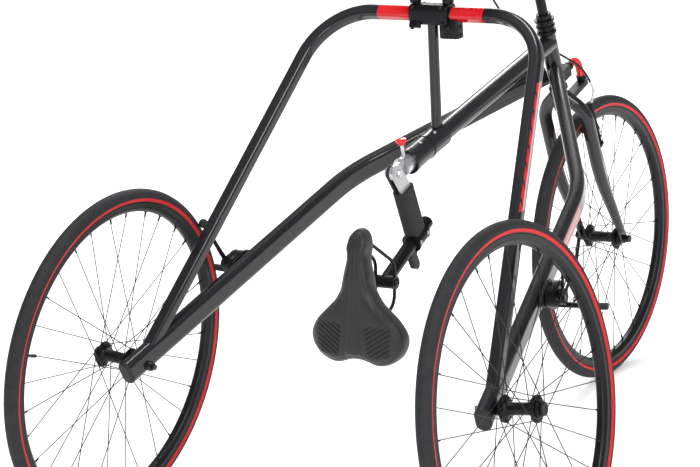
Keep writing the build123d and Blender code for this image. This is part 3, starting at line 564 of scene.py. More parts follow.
@dataclass
class Finishes:
    """Every finish of the tricycle, made once."""

    made: dict[str, bpy.types.Material] = field(default_factory=dict)

    def __post_init__(self) -> None:
        """Make the plain finishes."""
        black = (0.0048, 0.0042, 0.0062)
        for finish in (
            Enamel("frame_enamel", black),
            BandedEnamel("hoop_enamel", black),
            RailEnamel("rail_enamel", black),
            Metal("anodised_black", (0.012, 0.012, 0.014), 0.36, 0.55),
            Metal("rim_black", (0.012, 0.012, 0.014), 0.34, 0.4),
            Metal("spoke_wire", (0.016, 0.012, 0.011), 0.40, 0.2),
            Metal("polished_steel", (0.74, 0.74, 0.76), 0.24, 0.85, 0.00002),
            Metal("brushed_alloy", (0.56, 0.56, 0.58), 0.36, 0.62, 0.00003),
            Metal("dark_bolt", (0.05, 0.05, 0.055), 0.3, 0.9),
            Moulded("gloss_red", (0.50, 0.008, 0.010), 0.16, 0.00003, 200.0, 0.6),
            Moulded("black_plastic", (0.010, 0.010, 0.011), 0.44),
            Moulded("grip_rubber", (0.014, 0.014, 0.015), 0.62, 0.0002, 900.0),
            Moulded("pad_rubber", (0.020, 0.020, 0.021), 0.7, 0.0002, 900.0),
            Vinyl("saddle_vinyl", (0.0085, 0.0085, 0.0095), 0.40),
            Vinyl("pad_vinyl", (0.011, 0.011, 0.012), 0.5),
            Floor(),
        ):
            self.made[finish.name] = finish.graph().material

    def __getitem__(self, name: str) -> bpy.types.Material:
        """The finish of that name."""
        return self.made[name]

    def pick(self, *names: str) -> list[bpy.types.Material]:
        """The finishes of those names, one for each slot of a piece."""
        return [self.made[name] for name in names]

    def add(self, finish: TyreRubber) -> bpy.types.Material:
        """Make one more finish."""
        self.made[finish.name] = finish.graph().material
        return self.made[finish.name]

    def dress(self, node: str, name: str) -> None:
        """Give a carried-over frame node a finish."""
        piece = frame["nodes"][node]
        piece.data.materials.clear()
        piece.data.materials.append(self.made[name])


class Side(Enum):
    """Which side of the centre line a piece is on."""

    LEFT = 1
    RIGHT = -1

    @property
    def word(self) -> str:
        """The side's word in node names."""
        return self.name.lower()


def along(
    origin: Sequence[float], axis: Sequence[float], hint: Sequence[float] = (1, 0, 0)
) -> Matrix:
    """A place whose own Z runs along an axis.

    Args:
        origin: the place's origin.
        axis: direction of its Z.
        hint: direction that its X leans to.

    Returns:
        The place's matrix.
    """
    up = Vector(axis).normalized()
    right = Vector(hint) - up * Vector(hint).dot(up)
    right = up.orthogonal() if right.length < 1e-6 else right
    right.normalize()
    return Matrix.Translation(origin) @ Matrix((right, up.cross(right), up)).transposed().to_4x4()


class Shape:
    """A piece's mesh in the making, in metres in the row frame."""

    def __init__(self) -> None:
        """Start an empty mesh."""
        self.mesh = bmesh.new()

    def bridge(self, rings: Sequence[Sequence[bmesh.types.BMVert]], slot: int, closed: bool) -> None:
        """Join rings of points with faces.

        Args:
            rings: the rings, all with the same number of points.
            slot: material slot of the faces.
            closed: whether the last ring joins the first.
        """
        count = len(rings[0])
        pairs = list(zip(rings, rings[1:])) + ([(rings[-1], rings[0])] if closed else [])
        for first, second in pairs:
            for index in range(count):
                after = (index + 1) % count
                face = self.mesh.faces.new((first[index], first[after], second[after], second[index]))
                face.material_index = slot

    def close(self, rings: Sequence[Sequence[bmesh.types.BMVert]], slot: int) -> "Shape":
        """Join rings of points with faces and close both ends.

        Args:
            rings: the rings, all with the same number of points.
            slot: material slot of the faces.

        Returns:
            This shape.
        """
        self.bridge(rings, slot, False)
        for ring in (rings[0][::-1], rings[-1]):
            self.mesh.faces.new(ring).material_index = slot
        return self

    def lathe(
        self,
        place: Matrix,
        profile: Sequence[tuple[float, float]],
        steps: int = 32,
        slot: int = 0,
        ring: bool = False,
    ) -> "Shape":
        """Turn a profile about a place's Z.

        Args:
            place: where the axis is.
            profile: (radius, run along the axis) points.
            steps: points round the axis.
            slot: material slot.
            ring: whether the profile closes on itself, as in a tyre.

        Returns:
            This shape.
        """
        turns = [2 * math.pi * index / steps for index in range(steps)]
        rings = []
        for radius, run in profile:
            points = [Vector((radius * math.cos(turn), radius * math.sin(turn), run)) for turn in turns]
            rings.append([self.mesh.verts.new(place @ point) for point in points])
        if not ring:
            return self.close(rings, slot)
        self.bridge(rings, slot, True)
        return self

    def pipe(
        self,
        points: Sequence[Vector],
        radii: Union[float, Sequence[float]],
        sides: int = 12,
        slot: int = 0,
        flat: float = 1.0,
        wide: Sequence[float] = (0, 0, 1),
    ) -> "Shape":
        """Carry a round or oval section along points.

        Args:
            points: the line that it follows.
            radii: one radius, or one for each point.
            sides: points round the section.
            slot: material slot.
            flat: the section's thickness as a share of its width.
            wide: direction of the section's width at the start.

        Returns:
            This shape.
        """
        line = [Vector(point) for point in points]
        sizes = [radii] * len(line) if isinstance(radii, (int, float)) else list(radii)
        turns = [2 * math.pi * step / sides for step in range(sides)]
        rings = []
        right = Vector(wide)
        for index, point in enumerate(line):
            ahead = line[min(index + 1, len(line) - 1)] - line[max(index - 1, 0)]
            axis = ahead.normalized()
            right = right - axis * right.dot(axis)
            right = axis.orthogonal() if right.length < 1e-6 else right
            right.normalize()
            other = axis.cross(right)
            size = sizes[index]
            out = [right * math.cos(turn) + other * math.sin(turn) * flat for turn in turns]
            rings.append([self.mesh.verts.new(point + step * size) for step in out])
        return self.close(rings, slot)

    def plate(
        self, place: Matrix, outline: Outline, thick: float, edge: float, slot: int = 0
    ) -> "Shape":
        """A flat plate with softened edges.

        Args:
            place: the plate's middle, its Z across the plate.
            outline: the plate's outline in its own X and Y.
            thick: thickness.
            edge: width of the softened edge.
            slot: material slot.

        Returns:
            This shape.
        """
        middle = Vector((sum(x for x, _ in outline), sum(y for _, y in outline))) / len(outline)
        reach = max((Vector(point) - middle).length for point in outline)
        inner = 1 - edge / reach
        half = thick / 2
        rings = []
        for share, height in ((inner, -half), (1.0, edge - half), (1.0, half - edge), (inner, half)):
            ring = [middle + (Vector(point) - middle) * share for point in outline]
            rings.append([self.mesh.verts.new(place @ Vector((x, y, height))) for x, y in ring])
        return self.close(rings, slot)

    def bolt(self, place: Matrix, radius: float, height: float, slot: int = 0) -> "Shape":
        """A button-headed bolt with a socket, standing on a place's XY.

        Args:
            place: the bolt's seat, its Z the way the head stands.
            radius: the head's radius.
            height: the head's height.
            slot: material slot.

        Returns:
            This shape.
        """
        shares = [(1.0, 0.0), (1.0, 0.45), (0.86, 0.82), (0.62, 1.0), (0.44, 1.0), (0.40, 0.40), (0.05, 0.36)]
        profile = [(radius * out, height * rise) for out, rise in shares]
        return self.lathe(place, profile, 24, slot)

    def make(
        self, name: str, body: str, materials: Sequence[bpy.types.Material], *nodes: str
    ) -> bpy.types.Object:
        """Turn the mesh into a piece that rides on a body.

        Args:
            name: the piece's name.
            body: the body that it rides on.
            materials: one material for each slot used.
            nodes: frame nodes that it replaces.

        Returns:
            The piece.
        """
        bmesh.ops.recalc_face_normals(self.mesh, faces=self.mesh.faces)
        self.mesh.normal_update()
        for face in self.mesh.faces:
            face.smooth = True
        for edge in self.mesh.edges:
            if len(edge.link_faces) == 2 and edge.calc_face_angle(0.0) > math.radians(38):
                edge.smooth = False
        data = bpy.data.meshes.new(name)
        self.mesh.to_mesh(data)
        self.mesh.free()
        piece = bpy.data.objects.new(name, data)
        for material in materials:
            data.materials.append(material)
        bpy.context.scene.collection.objects.link(piece)
        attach(piece, body)
        if nodes:
            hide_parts(*nodes)
        LOG.info("%s: %d faces on %s", name, len(data.polygons), body)
        return piece


def arc(centre: Sequence[float], radius: float, start: float, end: float, count: int) -> Outline:
    """Points on an arc, its angles in degrees."""
    turns = [math.radians(start + (end - start) * index / (count - 1)) for index in range(count)]
    return [(centre[0] + radius * math.cos(turn), centre[1] + radius * math.sin(turn)) for turn in turns]


def stadium(length: float, width: float) -> Outline:
    """Outline of a slot-shaped plate between two end centres."""
    half, radius = length / 2, width / 2
    return arc((half, 0), radius, -90, 90, 12) + arc((-half, 0), radius, 90, 270, 12)


def rounded_square(half: float, power: float, count: int) -> Outline:
    """Outline of a square with round corners: a superellipse.

    Args:
        half: half its width.
        power: power of the cosine and sine, squarer when smaller.
        count: points round it.

    Returns:
        The outline.
    """
    turns = [2 * math.pi * step / count for step in range(count)]
    waves = [(math.cos(turn), math.sin(turn)) for turn in turns]
    return [tuple(half * math.copysign(abs(wave) ** power, wave) for wave in pair) for pair in waves]


def smooth_line(points: Sequence[Sequence[float]], steps: int = 10) -> list[Vector]:
    """A smooth line through points.

    Args:
        points: the points that it goes through.
        steps: points of the line in each run between two of them.

    Returns:
        The line's points.
    """
    nodes = [Vector(point) for point in points]
    nodes = [nodes[0] * 2 - nodes[1], *nodes, nodes[-1] * 2 - nodes[-2]]
    line = []
    for first, second, third, fourth in zip(nodes, nodes[1:], nodes[2:], nodes[3:]):
        for step in range(steps):
            share = step / steps
            line.append(0.5 * (
                2 * second + (third - first) * share
                + (2 * first - 5 * second + 4 * third - fourth) * share**2
                + (3 * second - first - 3 * third + fourth) * share**3
            ))
    line.append(nodes[-2])
    return line


def joint(name: str) -> dict[str, Any]:
    """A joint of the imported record, by its name."""
    return next(entry for entry in frame["record"]["behaviour"]["joints"] if entry["name"] == name)


@dataclass
class Wheel:
    """One wheel: striped tyre, rim with its valve, laced spokes and a turned hub.

    Attributes:
        name: start of its pieces' names.
        joint_name: the joint that it spins on.
        body: the body that it rides on.
        suffix: end of its frame nodes' names.
        side: its side, or none for the front wheel.
        tyre_radius: outer radius.
        flange_spacing: distance between the hub's flanges.
        hub_half: half the hub's length.
        valve_turn: degrees from straight ahead to the valve.
        tyre_width: the tyre's width.
        stripe_drops: how far below the tread the stripe's inner and outer edges are.
        rim_drop: how far below the tread the rim's edge is.
        rim_depth: the rim's depth.
        spoke_count: number of spokes.
        spoke_radius: the wire's radius.
        spoke_crossings: holes that a spoke leans past, round its flange.
        hole_circle: radius of the flanges' spoke holes.
        spoke_phase: degrees from straight ahead to the first hole.
        stripe: the stripe's colour.
    """

    name: str
    joint_name: str
    body: str
    suffix: str
    side: Optional[Side]
    tyre_radius: float
    flange_spacing: float
    hub_half: float
    valve_turn: float
    tyre_width: float = 0.032
    stripe_drops: tuple[float, float] = (0.0238, 0.0176)
    rim_drop: float = 0.0262
    rim_depth: float = 0.0199
    spoke_count: int = 32
    spoke_radius: float = 0.0010
    spoke_crossings: int = 3
    hole_circle: float = 0.022
    spoke_phase: float = 5.0
    stripe: Colour = (0.48, 0.008, 0.009)

    def __post_init__(self) -> None:
        """Find the wheel's place from its joint."""
        record = joint(self.joint_name)
        self.centre = Vector(record["pos_m"])
        self.axle = Vector(record["axis"]) * (self.side.value if self.side else 1)
        ahead = Vector((1, 0, 0))
        up = ahead.cross(self.axle)
        up = up if up.z > 0 else -up
        turn = Matrix((ahead, self.axle, up)).transposed()
        self.place = Matrix.Translation(self.centre) @ turn.to_4x4()
        self.spin = along(self.centre, self.axle)

    def local(self, radius: float, turn: float, run: float) -> Vector:
        """A point by its radius, its turn from straight ahead and its run along the axle."""
        return self.place @ Vector((radius * math.cos(turn), run, radius * math.sin(turn)))

    def tyre(self, finishes: Finishes) -> None:
        """Make the tyre, with a slick crown, shoulders and a bead line.

        Args:
            finishes: the finishes.
        """
        half = self.tyre_width / 2
        middle = self.tyre_radius - half
        profile = []
        for degrees in range(-142, 143, 6):
            turn = math.radians(degrees)
            swell = half - (0.0004 if 34 < abs(degrees) < 42 else 0.0)
            swell -= 0.0005 if 118 < abs(degrees) < 124 else 0.0
            profile.append((middle + swell * math.cos(turn) * 0.995, swell * math.sin(turn) * 0.97))
        low, high = (self.tyre_radius - drop for drop in self.stripe_drops)
        rubber = TyreRubber(
            f"{self.name}_rubber", self.stripe, tuple(self.centre), tuple(self.axle), low, high
        )
        shape = Shape().lathe(self.spin, profile, 160, 0, True)
        shape.make(f"{self.name}_tyre", self.body, [finishes.add(rubber)], self.node("tyre"))

    def node(self, word: str) -> str:
        """Name of the wheel's frame node of that kind."""
        return f"{'front' if self.side is None else 'rear'}_{word}{self.suffix}"

    def rim(self, finishes: Finishes) -> None:
        """Make the rim with its braking sides, spoke nipples and valve.

        Args:
            finishes: the finishes.
        """
        top = self.tyre_radius - self.rim_drop
        half_widths = [
            (0.0, 0.0118), (0.0008, 0.0124), (0.0022, 0.0122), (0.0028, 0.0115), (0.0100, 0.0114),
            (0.0106, 0.0119), (0.0125, 0.0112), (0.0165, 0.0088), (0.0190, 0.0060), (self.rim_depth, 0.0030),
        ]
        section = [(top - drop, width) for drop, width in half_widths]
        section += [(radius, -width) for radius, width in reversed(section)]
        shape = Shape().lathe(self.spin, section, 160, 0, True)
        inner = top - self.rim_depth
        nipple = [(0.0028, -0.001), (0.0028, 0.002), (0.0021, 0.003), (0.0019, 0.011), (0.0013, 0.0125)]
        for index in range(self.spoke_count):
            turn = self.spoke_end_turn(index)
            foot = self.local(inner + 0.001, turn, self.flange_side(index) * 0.002)
            axis = (self.spoke_start(index) - foot).normalized()
            shape.lathe(along(foot, axis), nipple, 8, 1)
        foot = self.local(inner + 0.001, math.radians(self.valve_turn), 0.0)
        inward = (self.centre - foot).normalized()
        valve = [
            (0.0042, 0.0), (0.0042, 0.003), (0.0030, 0.0034), (0.0030, 0.018), (0.0036, 0.0184),
            (0.0036, 0.030), (0.0024, 0.033), (0.0005, 0.0335),
        ]
        shape.lathe(along(foot, inward), valve, 16, 2)
        materials = finishes.pick("rim_black", "anodised_black", "black_plastic")
        shape.make(f"{self.name}_rim", self.body, materials, self.node("rim"))

    def flange_side(self, index: int) -> int:
        """Which flange a spoke starts from: -1 or 1."""
        return -1 if index < self.spoke_count // 2 else 1

    def spoke_turns(self, index: int) -> tuple[int, float]:
        """Which way a spoke leans and where its hole is.

        Args:
            index: the spoke's number.

        Returns:
            The lean, -1 or 1, and the hole's turn in radians.
        """
        per_flange = self.spoke_count // 2
        number = index % per_flange
        step = 2 * math.pi / per_flange
        shift = 0.5 if self.flange_side(index) > 0 else 0.0
        return (1 if number % 2 else -1), math.radians(self.spoke_phase) + (number + shift) * step

    def spoke_end_turn(self, index: int) -> float:
        """Where round the rim a spoke ends."""
        lean, hole = self.spoke_turns(index)
        return hole + lean * self.spoke_crossings * 2 * math.pi / (self.spoke_count // 2)

    def spoke_start(self, index: int) -> Vector:
        """Where a spoke leaves its flange."""
        lean, hole = self.spoke_turns(index)
        run = self.flange_side(index) * (self.flange_spacing / 2 + lean * 0.0032)
        return self.local(self.hole_circle, hole, run)

    def spokes(self, finishes: Finishes) -> None:
        """Make the spokes, each with its head and its bend at the flange.

        Args:
            finishes: the finishes.
        """
        shape = Shape()
        inner = self.tyre_radius - 0.046
        button = [(0.0021, -0.0004), (0.0021, 0.0004), (0.0012, 0.0012)]
        for index in range(self.spoke_count):
            lean, hole = self.spoke_turns(index)
            side = self.flange_side(index)
            start = self.spoke_start(index)
            end = self.local(inner - 0.008, self.spoke_end_turn(index), side * 0.002)
            head = self.local(self.hole_circle, hole, side * (self.flange_spacing / 2 - lean * 0.0030))
            run = (end - start).normalized()
            wire = [head, head.lerp(start, 0.6), start + run * 0.0012, start + run * 0.004, end]
            shape.pipe(wire, self.spoke_radius, 8)
            shape.lathe(along(head, head - start), button, 10)
        shape.make(f"{self.name}_spokes", self.body, [finishes["spoke_wire"]], self.node("spokes"))

    def hub(self, finishes: Finishes, bore: float) -> None:
        """Make the hub: waist, flanges with their rims, end caps and seal grooves.

        Args:
            finishes: the finishes.
            bore: radius of the bore.
        """
        half, flange = self.hub_half, self.flange_spacing / 2
        right = [
            (0.0120, 0.004), (0.0122, flange - 0.012), (0.0140, flange - 0.007), (0.0180, flange - 0.003),
            (0.0250, flange - 0.0016), (0.0260, flange - 0.0010), (0.0260, flange + 0.0012),
            (0.0250, flange + 0.0016), (0.0185, flange + 0.0017), (0.0160, flange + 0.0030),
            (0.0150, half - 0.0086), (0.0168, half - 0.0078), (0.0168, half - 0.0052),
            (0.0160, half - 0.0046), (0.0160, half - 0.0030), (0.0150, half - 0.0010), (0.0120, half),
        ]
        profile = [(bore, -half), *[(radius, -run) for radius, run in reversed(right)], *right, (bore, half)]
        shape = Shape().lathe(self.spin, profile, 64, 0, True)
        shape.make(f"{self.name}_hub", self.body, [finishes["anodised_black"]], self.node("hub"))

    def build(self, finishes: Finishes, bore: float) -> None:
        """Make the whole wheel.

        Args:
            finishes: the finishes.
            bore: radius of the hub's bore.
        """
        self.tyre(finishes)
        self.rim(finishes)
        self.spokes(finishes)
        self.hub(finishes, bore)


@dataclass
class SoftPiece:
    """A cushion blown up from the shape of its frame node by cloth simulation.

    Attributes:
        node: the frame node that it replaces.
        body: the body that it rides on.
        finish: its finish.
        voxel: size of the remesh.
        shrink: how far the start is drawn in, so the blown piece ends at the node's size.
        cap: the furthest that a point may move when it's blown up.
        fill: how full it is, from 0 to 1; not used.
        rounds: rounds of smoothing at the start.
        frames: frames of the simulation.
        pressure: pressure of the simulation.
    """

    node: str
    body: str
    finish: str
    voxel: float
    shrink: float
    cap: float
    fill: float
    rounds: int = 12
    frames: int = 20
    pressure: float = 4.0

    def start(self, mould: Optional[Callable[[Vector], Vector]]) -> bpy.types.Object:
        """Copy the node's shape, mould it, remesh it evenly and round its steps.

        Args:
            mould: gives a point's place in the finished outline.

        Returns:
            The piece.
        """
        data = frame["nodes"][self.node].data.copy()
        piece = bpy.data.objects.new(f"{self.node}_soft", data)
        bpy.context.scene.collection.objects.link(piece)
        self.apply(piece, "REMESH", {"mode": "VOXEL", "voxel_size": self.voxel})
        for vert in piece.data.vertices if mould else ():
            vert.co = mould(vert.co)
        self.apply(piece, "SMOOTH", {"factor": 0.5, "iterations": self.rounds})
        shape = bmesh.new()
        shape.from_mesh(piece.data)
        shape.normal_update()
        for vert in shape.verts:
            vert.co -= vert.normal * self.shrink
        shape.to_mesh(piece.data)
        shape.free()
        return piece

    @staticmethod
    def apply(piece: bpy.types.Object, kind: str, settings: dict[str, Any]) -> None:
        """Add one modifier and apply it.

        Args:
            piece: the piece.
            kind: the modifier's type.
            settings: its properties.
        """
        modifier = piece.modifiers.new(kind.lower(), kind)
        for key, setting in settings.items():
            setattr(modifier, key, setting)
        with bpy.context.temp_override(object=piece, active_object=piece):
            bpy.ops.object.modifier_apply(modifier=modifier.name)

    def inflate(self, piece: bpy.types.Object) -> None:
        """Blow the piece up with cloth pressure, no point moving beyond the cap.

        Args:
            piece: the piece.
        """
        before = [vert.co.copy() for vert in piece.data.vertices]
        cloth = piece.modifiers.new("cloth", "CLOTH")
        cloth.settings.use_pressure = True
        cloth.settings.uniform_pressure_force = self.pressure
        cloth.settings.effector_weights.gravity = 0.0
        cloth.point_cache.frame_start = 1
        cloth.point_cache.frame_end = self.frames
        for number in range(1, self.frames + 1):
            bpy.context.scene.frame_set(number)
        with bpy.context.temp_override(object=piece, active_object=piece):
            bpy.ops.object.modifier_apply(modifier=cloth.name)
        bpy.context.scene.frame_set(1)
        for vert, old in zip(piece.data.vertices, before):
            step = vert.co - old
            if step.length > self.cap:
                vert.co = old + step.normalized() * self.cap

    def build(
        self, finishes: Finishes, carve: Optional[Callable[[Vector, Vector], float]] = None,
        mould: Optional[Callable[[Vector], Vector]] = None,
    ) -> None:
        """Make the cushion.

        Args:
            finishes: the finishes.
            carve: gives how deep a groove is at a point with its normal, in metres.
            mould: gives a point's place in the finished outline.
        """
        piece = self.start(mould)
        self.inflate(piece)
        self.apply(piece, "SMOOTH", {"factor": 0.5, "iterations": 3})
        self.apply(piece, "SUBSURF", {"levels": 1, "render_levels": 1})
        if carve is not None:
            moved = [vert.normal * carve(vert.co, vert.normal) for vert in piece.data.vertices]
            for vert, step in zip(piece.data.vertices, moved):
                vert.co -= step
        for face in piece.data.polygons:
            face.use_smooth = True
        piece.data.materials.clear()
        piece.data.materials.append(finishes[self.finish])
        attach(piece, self.body)
        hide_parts(self.node)
        LOG.info("%s: %d faces, soft", piece.name, len(piece.data.polygons))


@dataclass
class Studio:
    """Camera, lamps, floor and world.

    Attributes:
        camera_place: where the camera stands.
        camera_right: the picture's right.
        camera_up: the picture's up.
        lens_px: focal length in the photograph's pixels.
        photo_width: the photograph's width in pixels.
        sensor: the camera's sensor width in millimetres.
        floor_size: the floor's width.
        soft_light: the world's strength.
        mirrored_light: its strength in mirrored rays.
        lamps: name, place, height of the target, width and watts of each lamp.
    """

    camera_place: Vector = vector(-4.4381, -2.6516, 1.7784)
    camera_right: Vector = vector(0.53648, -0.84130, -0.06636)
    camera_up: Vector = vector(0.23757, 0.07510, 0.96846)
    lens_px: float = 2561.5
    photo_width: float = 700.0
    sensor: float = 36.0
    floor_size: float = 40.0
    soft_light: float = 1.0
    mirrored_light: float = 0.30
    lamps: tuple[tuple[str, tuple[float, float, float], float, float, float], ...] = (
        ("key", (-2.2, -3.6, 3.6), 0.5, 2.0, 110),
        ("front", (-5.9, -3.1, 1.9), 0.5, 2.6, 90),
        ("top", (-0.4, 0.6, 4.2), 0.5, 1.2, 60),
        ("rim", (3.2, 1.6, 3.0), 0.6, 1.8, 70),
    )

    def camera(self) -> None:
        """Place the camera where the photograph was taken from."""
        data = bpy.data.cameras.new("camera")
        data.sensor_width = self.sensor
        data.lens = self.lens_px / self.photo_width * self.sensor
        data.clip_end = 200.0
        camera = bpy.data.objects.new("camera", data)
        back = self.camera_right.cross(self.camera_up).normalized()
        turn = Matrix((self.camera_right, self.camera_up, back)).transposed()
        camera.matrix_world = Matrix.Translation(self.camera_place) @ turn.to_4x4()
        bpy.context.scene.collection.objects.link(camera)
        bpy.context.scene.camera = camera

    def lamp(
        self, name: str, place: Sequence[float], height: float, size: float, power: float
    ) -> None:
        """Add one soft area lamp.

        Args:
            name: the lamp's name.
            place: where it stands.
            height: height of the point over the origin that it's aimed at.
            size: its width.
            power: its power in watts.
        """
        data = bpy.data.lights.new(name, "AREA")
        data.shape = "DISK"
        data.size = size
        data.energy = power
        lamp = bpy.data.objects.new(name, data)
        lamp.location = place
        aim = Vector((0, 0, height)) - Vector(place)
        lamp.rotation_euler = aim.to_track_quat("-Z", "Y").to_euler()
        bpy.context.scene.collection.objects.link(lamp)

    def world(self) -> None:
        """Make a white world that is dimmer in mirrored rays, so that black paint stays black."""
        world = bpy.data.worlds.new("studio_world")
        bpy.context.scene.world = world
        world.use_nodes = True
        tree = world.node_tree
        background = tree.nodes["Background"]
        path = tree.nodes.new("ShaderNodeLightPath")
        strength = tree.nodes.new("ShaderNodeMapRange")
        strength.inputs["To Min"].default_value = self.soft_light
        strength.inputs["To Max"].default_value = self.mirrored_light
        tree.links.new(path.outputs["Is Glossy Ray"], strength.inputs["Value"])
        background.inputs["Color"].default_value = (1.0, 1.0, 1.0, 1.0)
        tree.links.new(strength.outputs[0], background.inputs["Strength"])

    def floor(self, finishes: Finishes) -> None:
        """Lay the floor, which goes over into the white world away from the object.

        Args:
            finishes: the finishes.
        """
        half = self.floor_size / 2
        mesh = bpy.data.meshes.new("studio_floor")
        corners = [(-half, -half, 0), (half, -half, 0), (half, half, 0), (-half, half, 0)]
        mesh.from_pydata(corners, [], [(0, 1, 2, 3)])
        floor = bpy.data.objects.new("studio_floor", mesh)
        floor.location.z = -0.0005
        mesh.materials.append(finishes["studio_floor"])
        bpy.context.scene.collection.objects.link(floor)

    def build(self, finishes: Finishes) -> None:
        """Set up the whole studio.

        Args:
            finishes: the finishes.
        """
        bpy.context.scene.view_settings.view_transform = "Standard"
        self.camera()
        self.world()
        self.floor(finishes)
        for settings in self.lamps:
            self.lamp(*settings)


@dataclass
class SaddleSkin:
    """The saddle's skin: a rounded nose, a bowed top, two long channels and vents on each lobe.

    Attributes:
        tail: the saddle's tail, on the centre line.
        up: the way from tail to nose, as the saddle hangs.
        inward: the way into the saddle, square to its top.
        widths: (rise from the tail, width as a share of the CAD saddle's), which round the nose.
    """

    tail: Vector = vector(-0.44825, 0.0, 0.326)
    up: Vector = vector(0.1132, 0.0, 0.99357)
    inward: Vector = vector(0.99357, 0.0, -0.1132)
    widths: tuple[tuple[float, float], ...] = (
        (0.130, 1.00), (0.145, 1.06), (0.160, 1.11), (0.176, 1.12), (0.192, 1.09), (0.200, 1.11),
        (0.208, 1.20), (0.216, 1.35), (0.224, 1.00), (0.232, 0.88), (0.240, 0.78), (0.248, 0.66),
        (0.256, 0.52), (0.262, 0.36), (0.267, 0.16),
    )

    def mould(self, place: Vector) -> Vector:
        """Round the nose and bow the top, away from the rider at both ends.

        Args:
            place: a point of the CAD saddle.

        Returns:
            Its place in the finished outline.
        """
        arm = place - self.tail
        rise = arm.dot(self.up)
        share = 1.0
        for (low, first), (high, second) in zip(self.widths, self.widths[1:]):
            if low <= rise < high:
                share = first + (second - first) * (rise - low) / (high - low)
        share = self.widths[-1][1] if rise >= self.widths[-1][0] else share
        nose, tail = max(0.0, (rise - 0.185) / 0.08), max(0.0, (0.055 - rise) / 0.055)
        bow = 0.011 * nose**2 + 0.006 * tail**2
        bow += 0.007 * (place.y / 0.105) ** 2
        share *= 1.0 + 0.045 * limited((0.20 - rise) / 0.06)
        stretch = 0.009 * max(0.0, (rise - 0.19) / 0.076) - 0.004 * max(0.0, (0.06 - rise) / 0.06)
        return Vector((place.x, place.y * share, place.z)) + self.inward * bow + self.up * stretch

    def depth(self, place: Vector, normal: Vector) -> float:
        """How deep the skin is carved at a point.

        Args:
            place: the point.
            normal: the skin's normal there.

        Returns:
            The depth, in metres.
        """
        if normal.dot(-self.inward) < 0.35:
            return 0.0
        arm = place - self.tail
        rise, side = arm.dot(self.up), abs(place.y)
        spread = 0.0075 + 0.016 * max(0.0, 1 - rise / 0.21) ** 1.4
        channel = 0.0019 * math.exp(-(((side - spread) / 0.0021) ** 2)) * (1.0 if rise < 0.235 else 0.0)
        lobe = limited((side - spread - 0.010) / 0.004) * limited((0.084 - side) / 0.005)
        lobe *= limited((rise - 0.020) / 0.006) * limited((0.088 - rise) / 0.010)
        fan = math.cos(2 * math.pi * (rise - 0.62 * side) / 0.0098)
        vent = 0.0036 * lobe * limited(fan * 1.8 - 0.1)
        seam = 0.0010 * math.exp(-(((normal.dot(-self.inward) - 0.72) / 0.07) ** 2))
        return channel + vent + seam


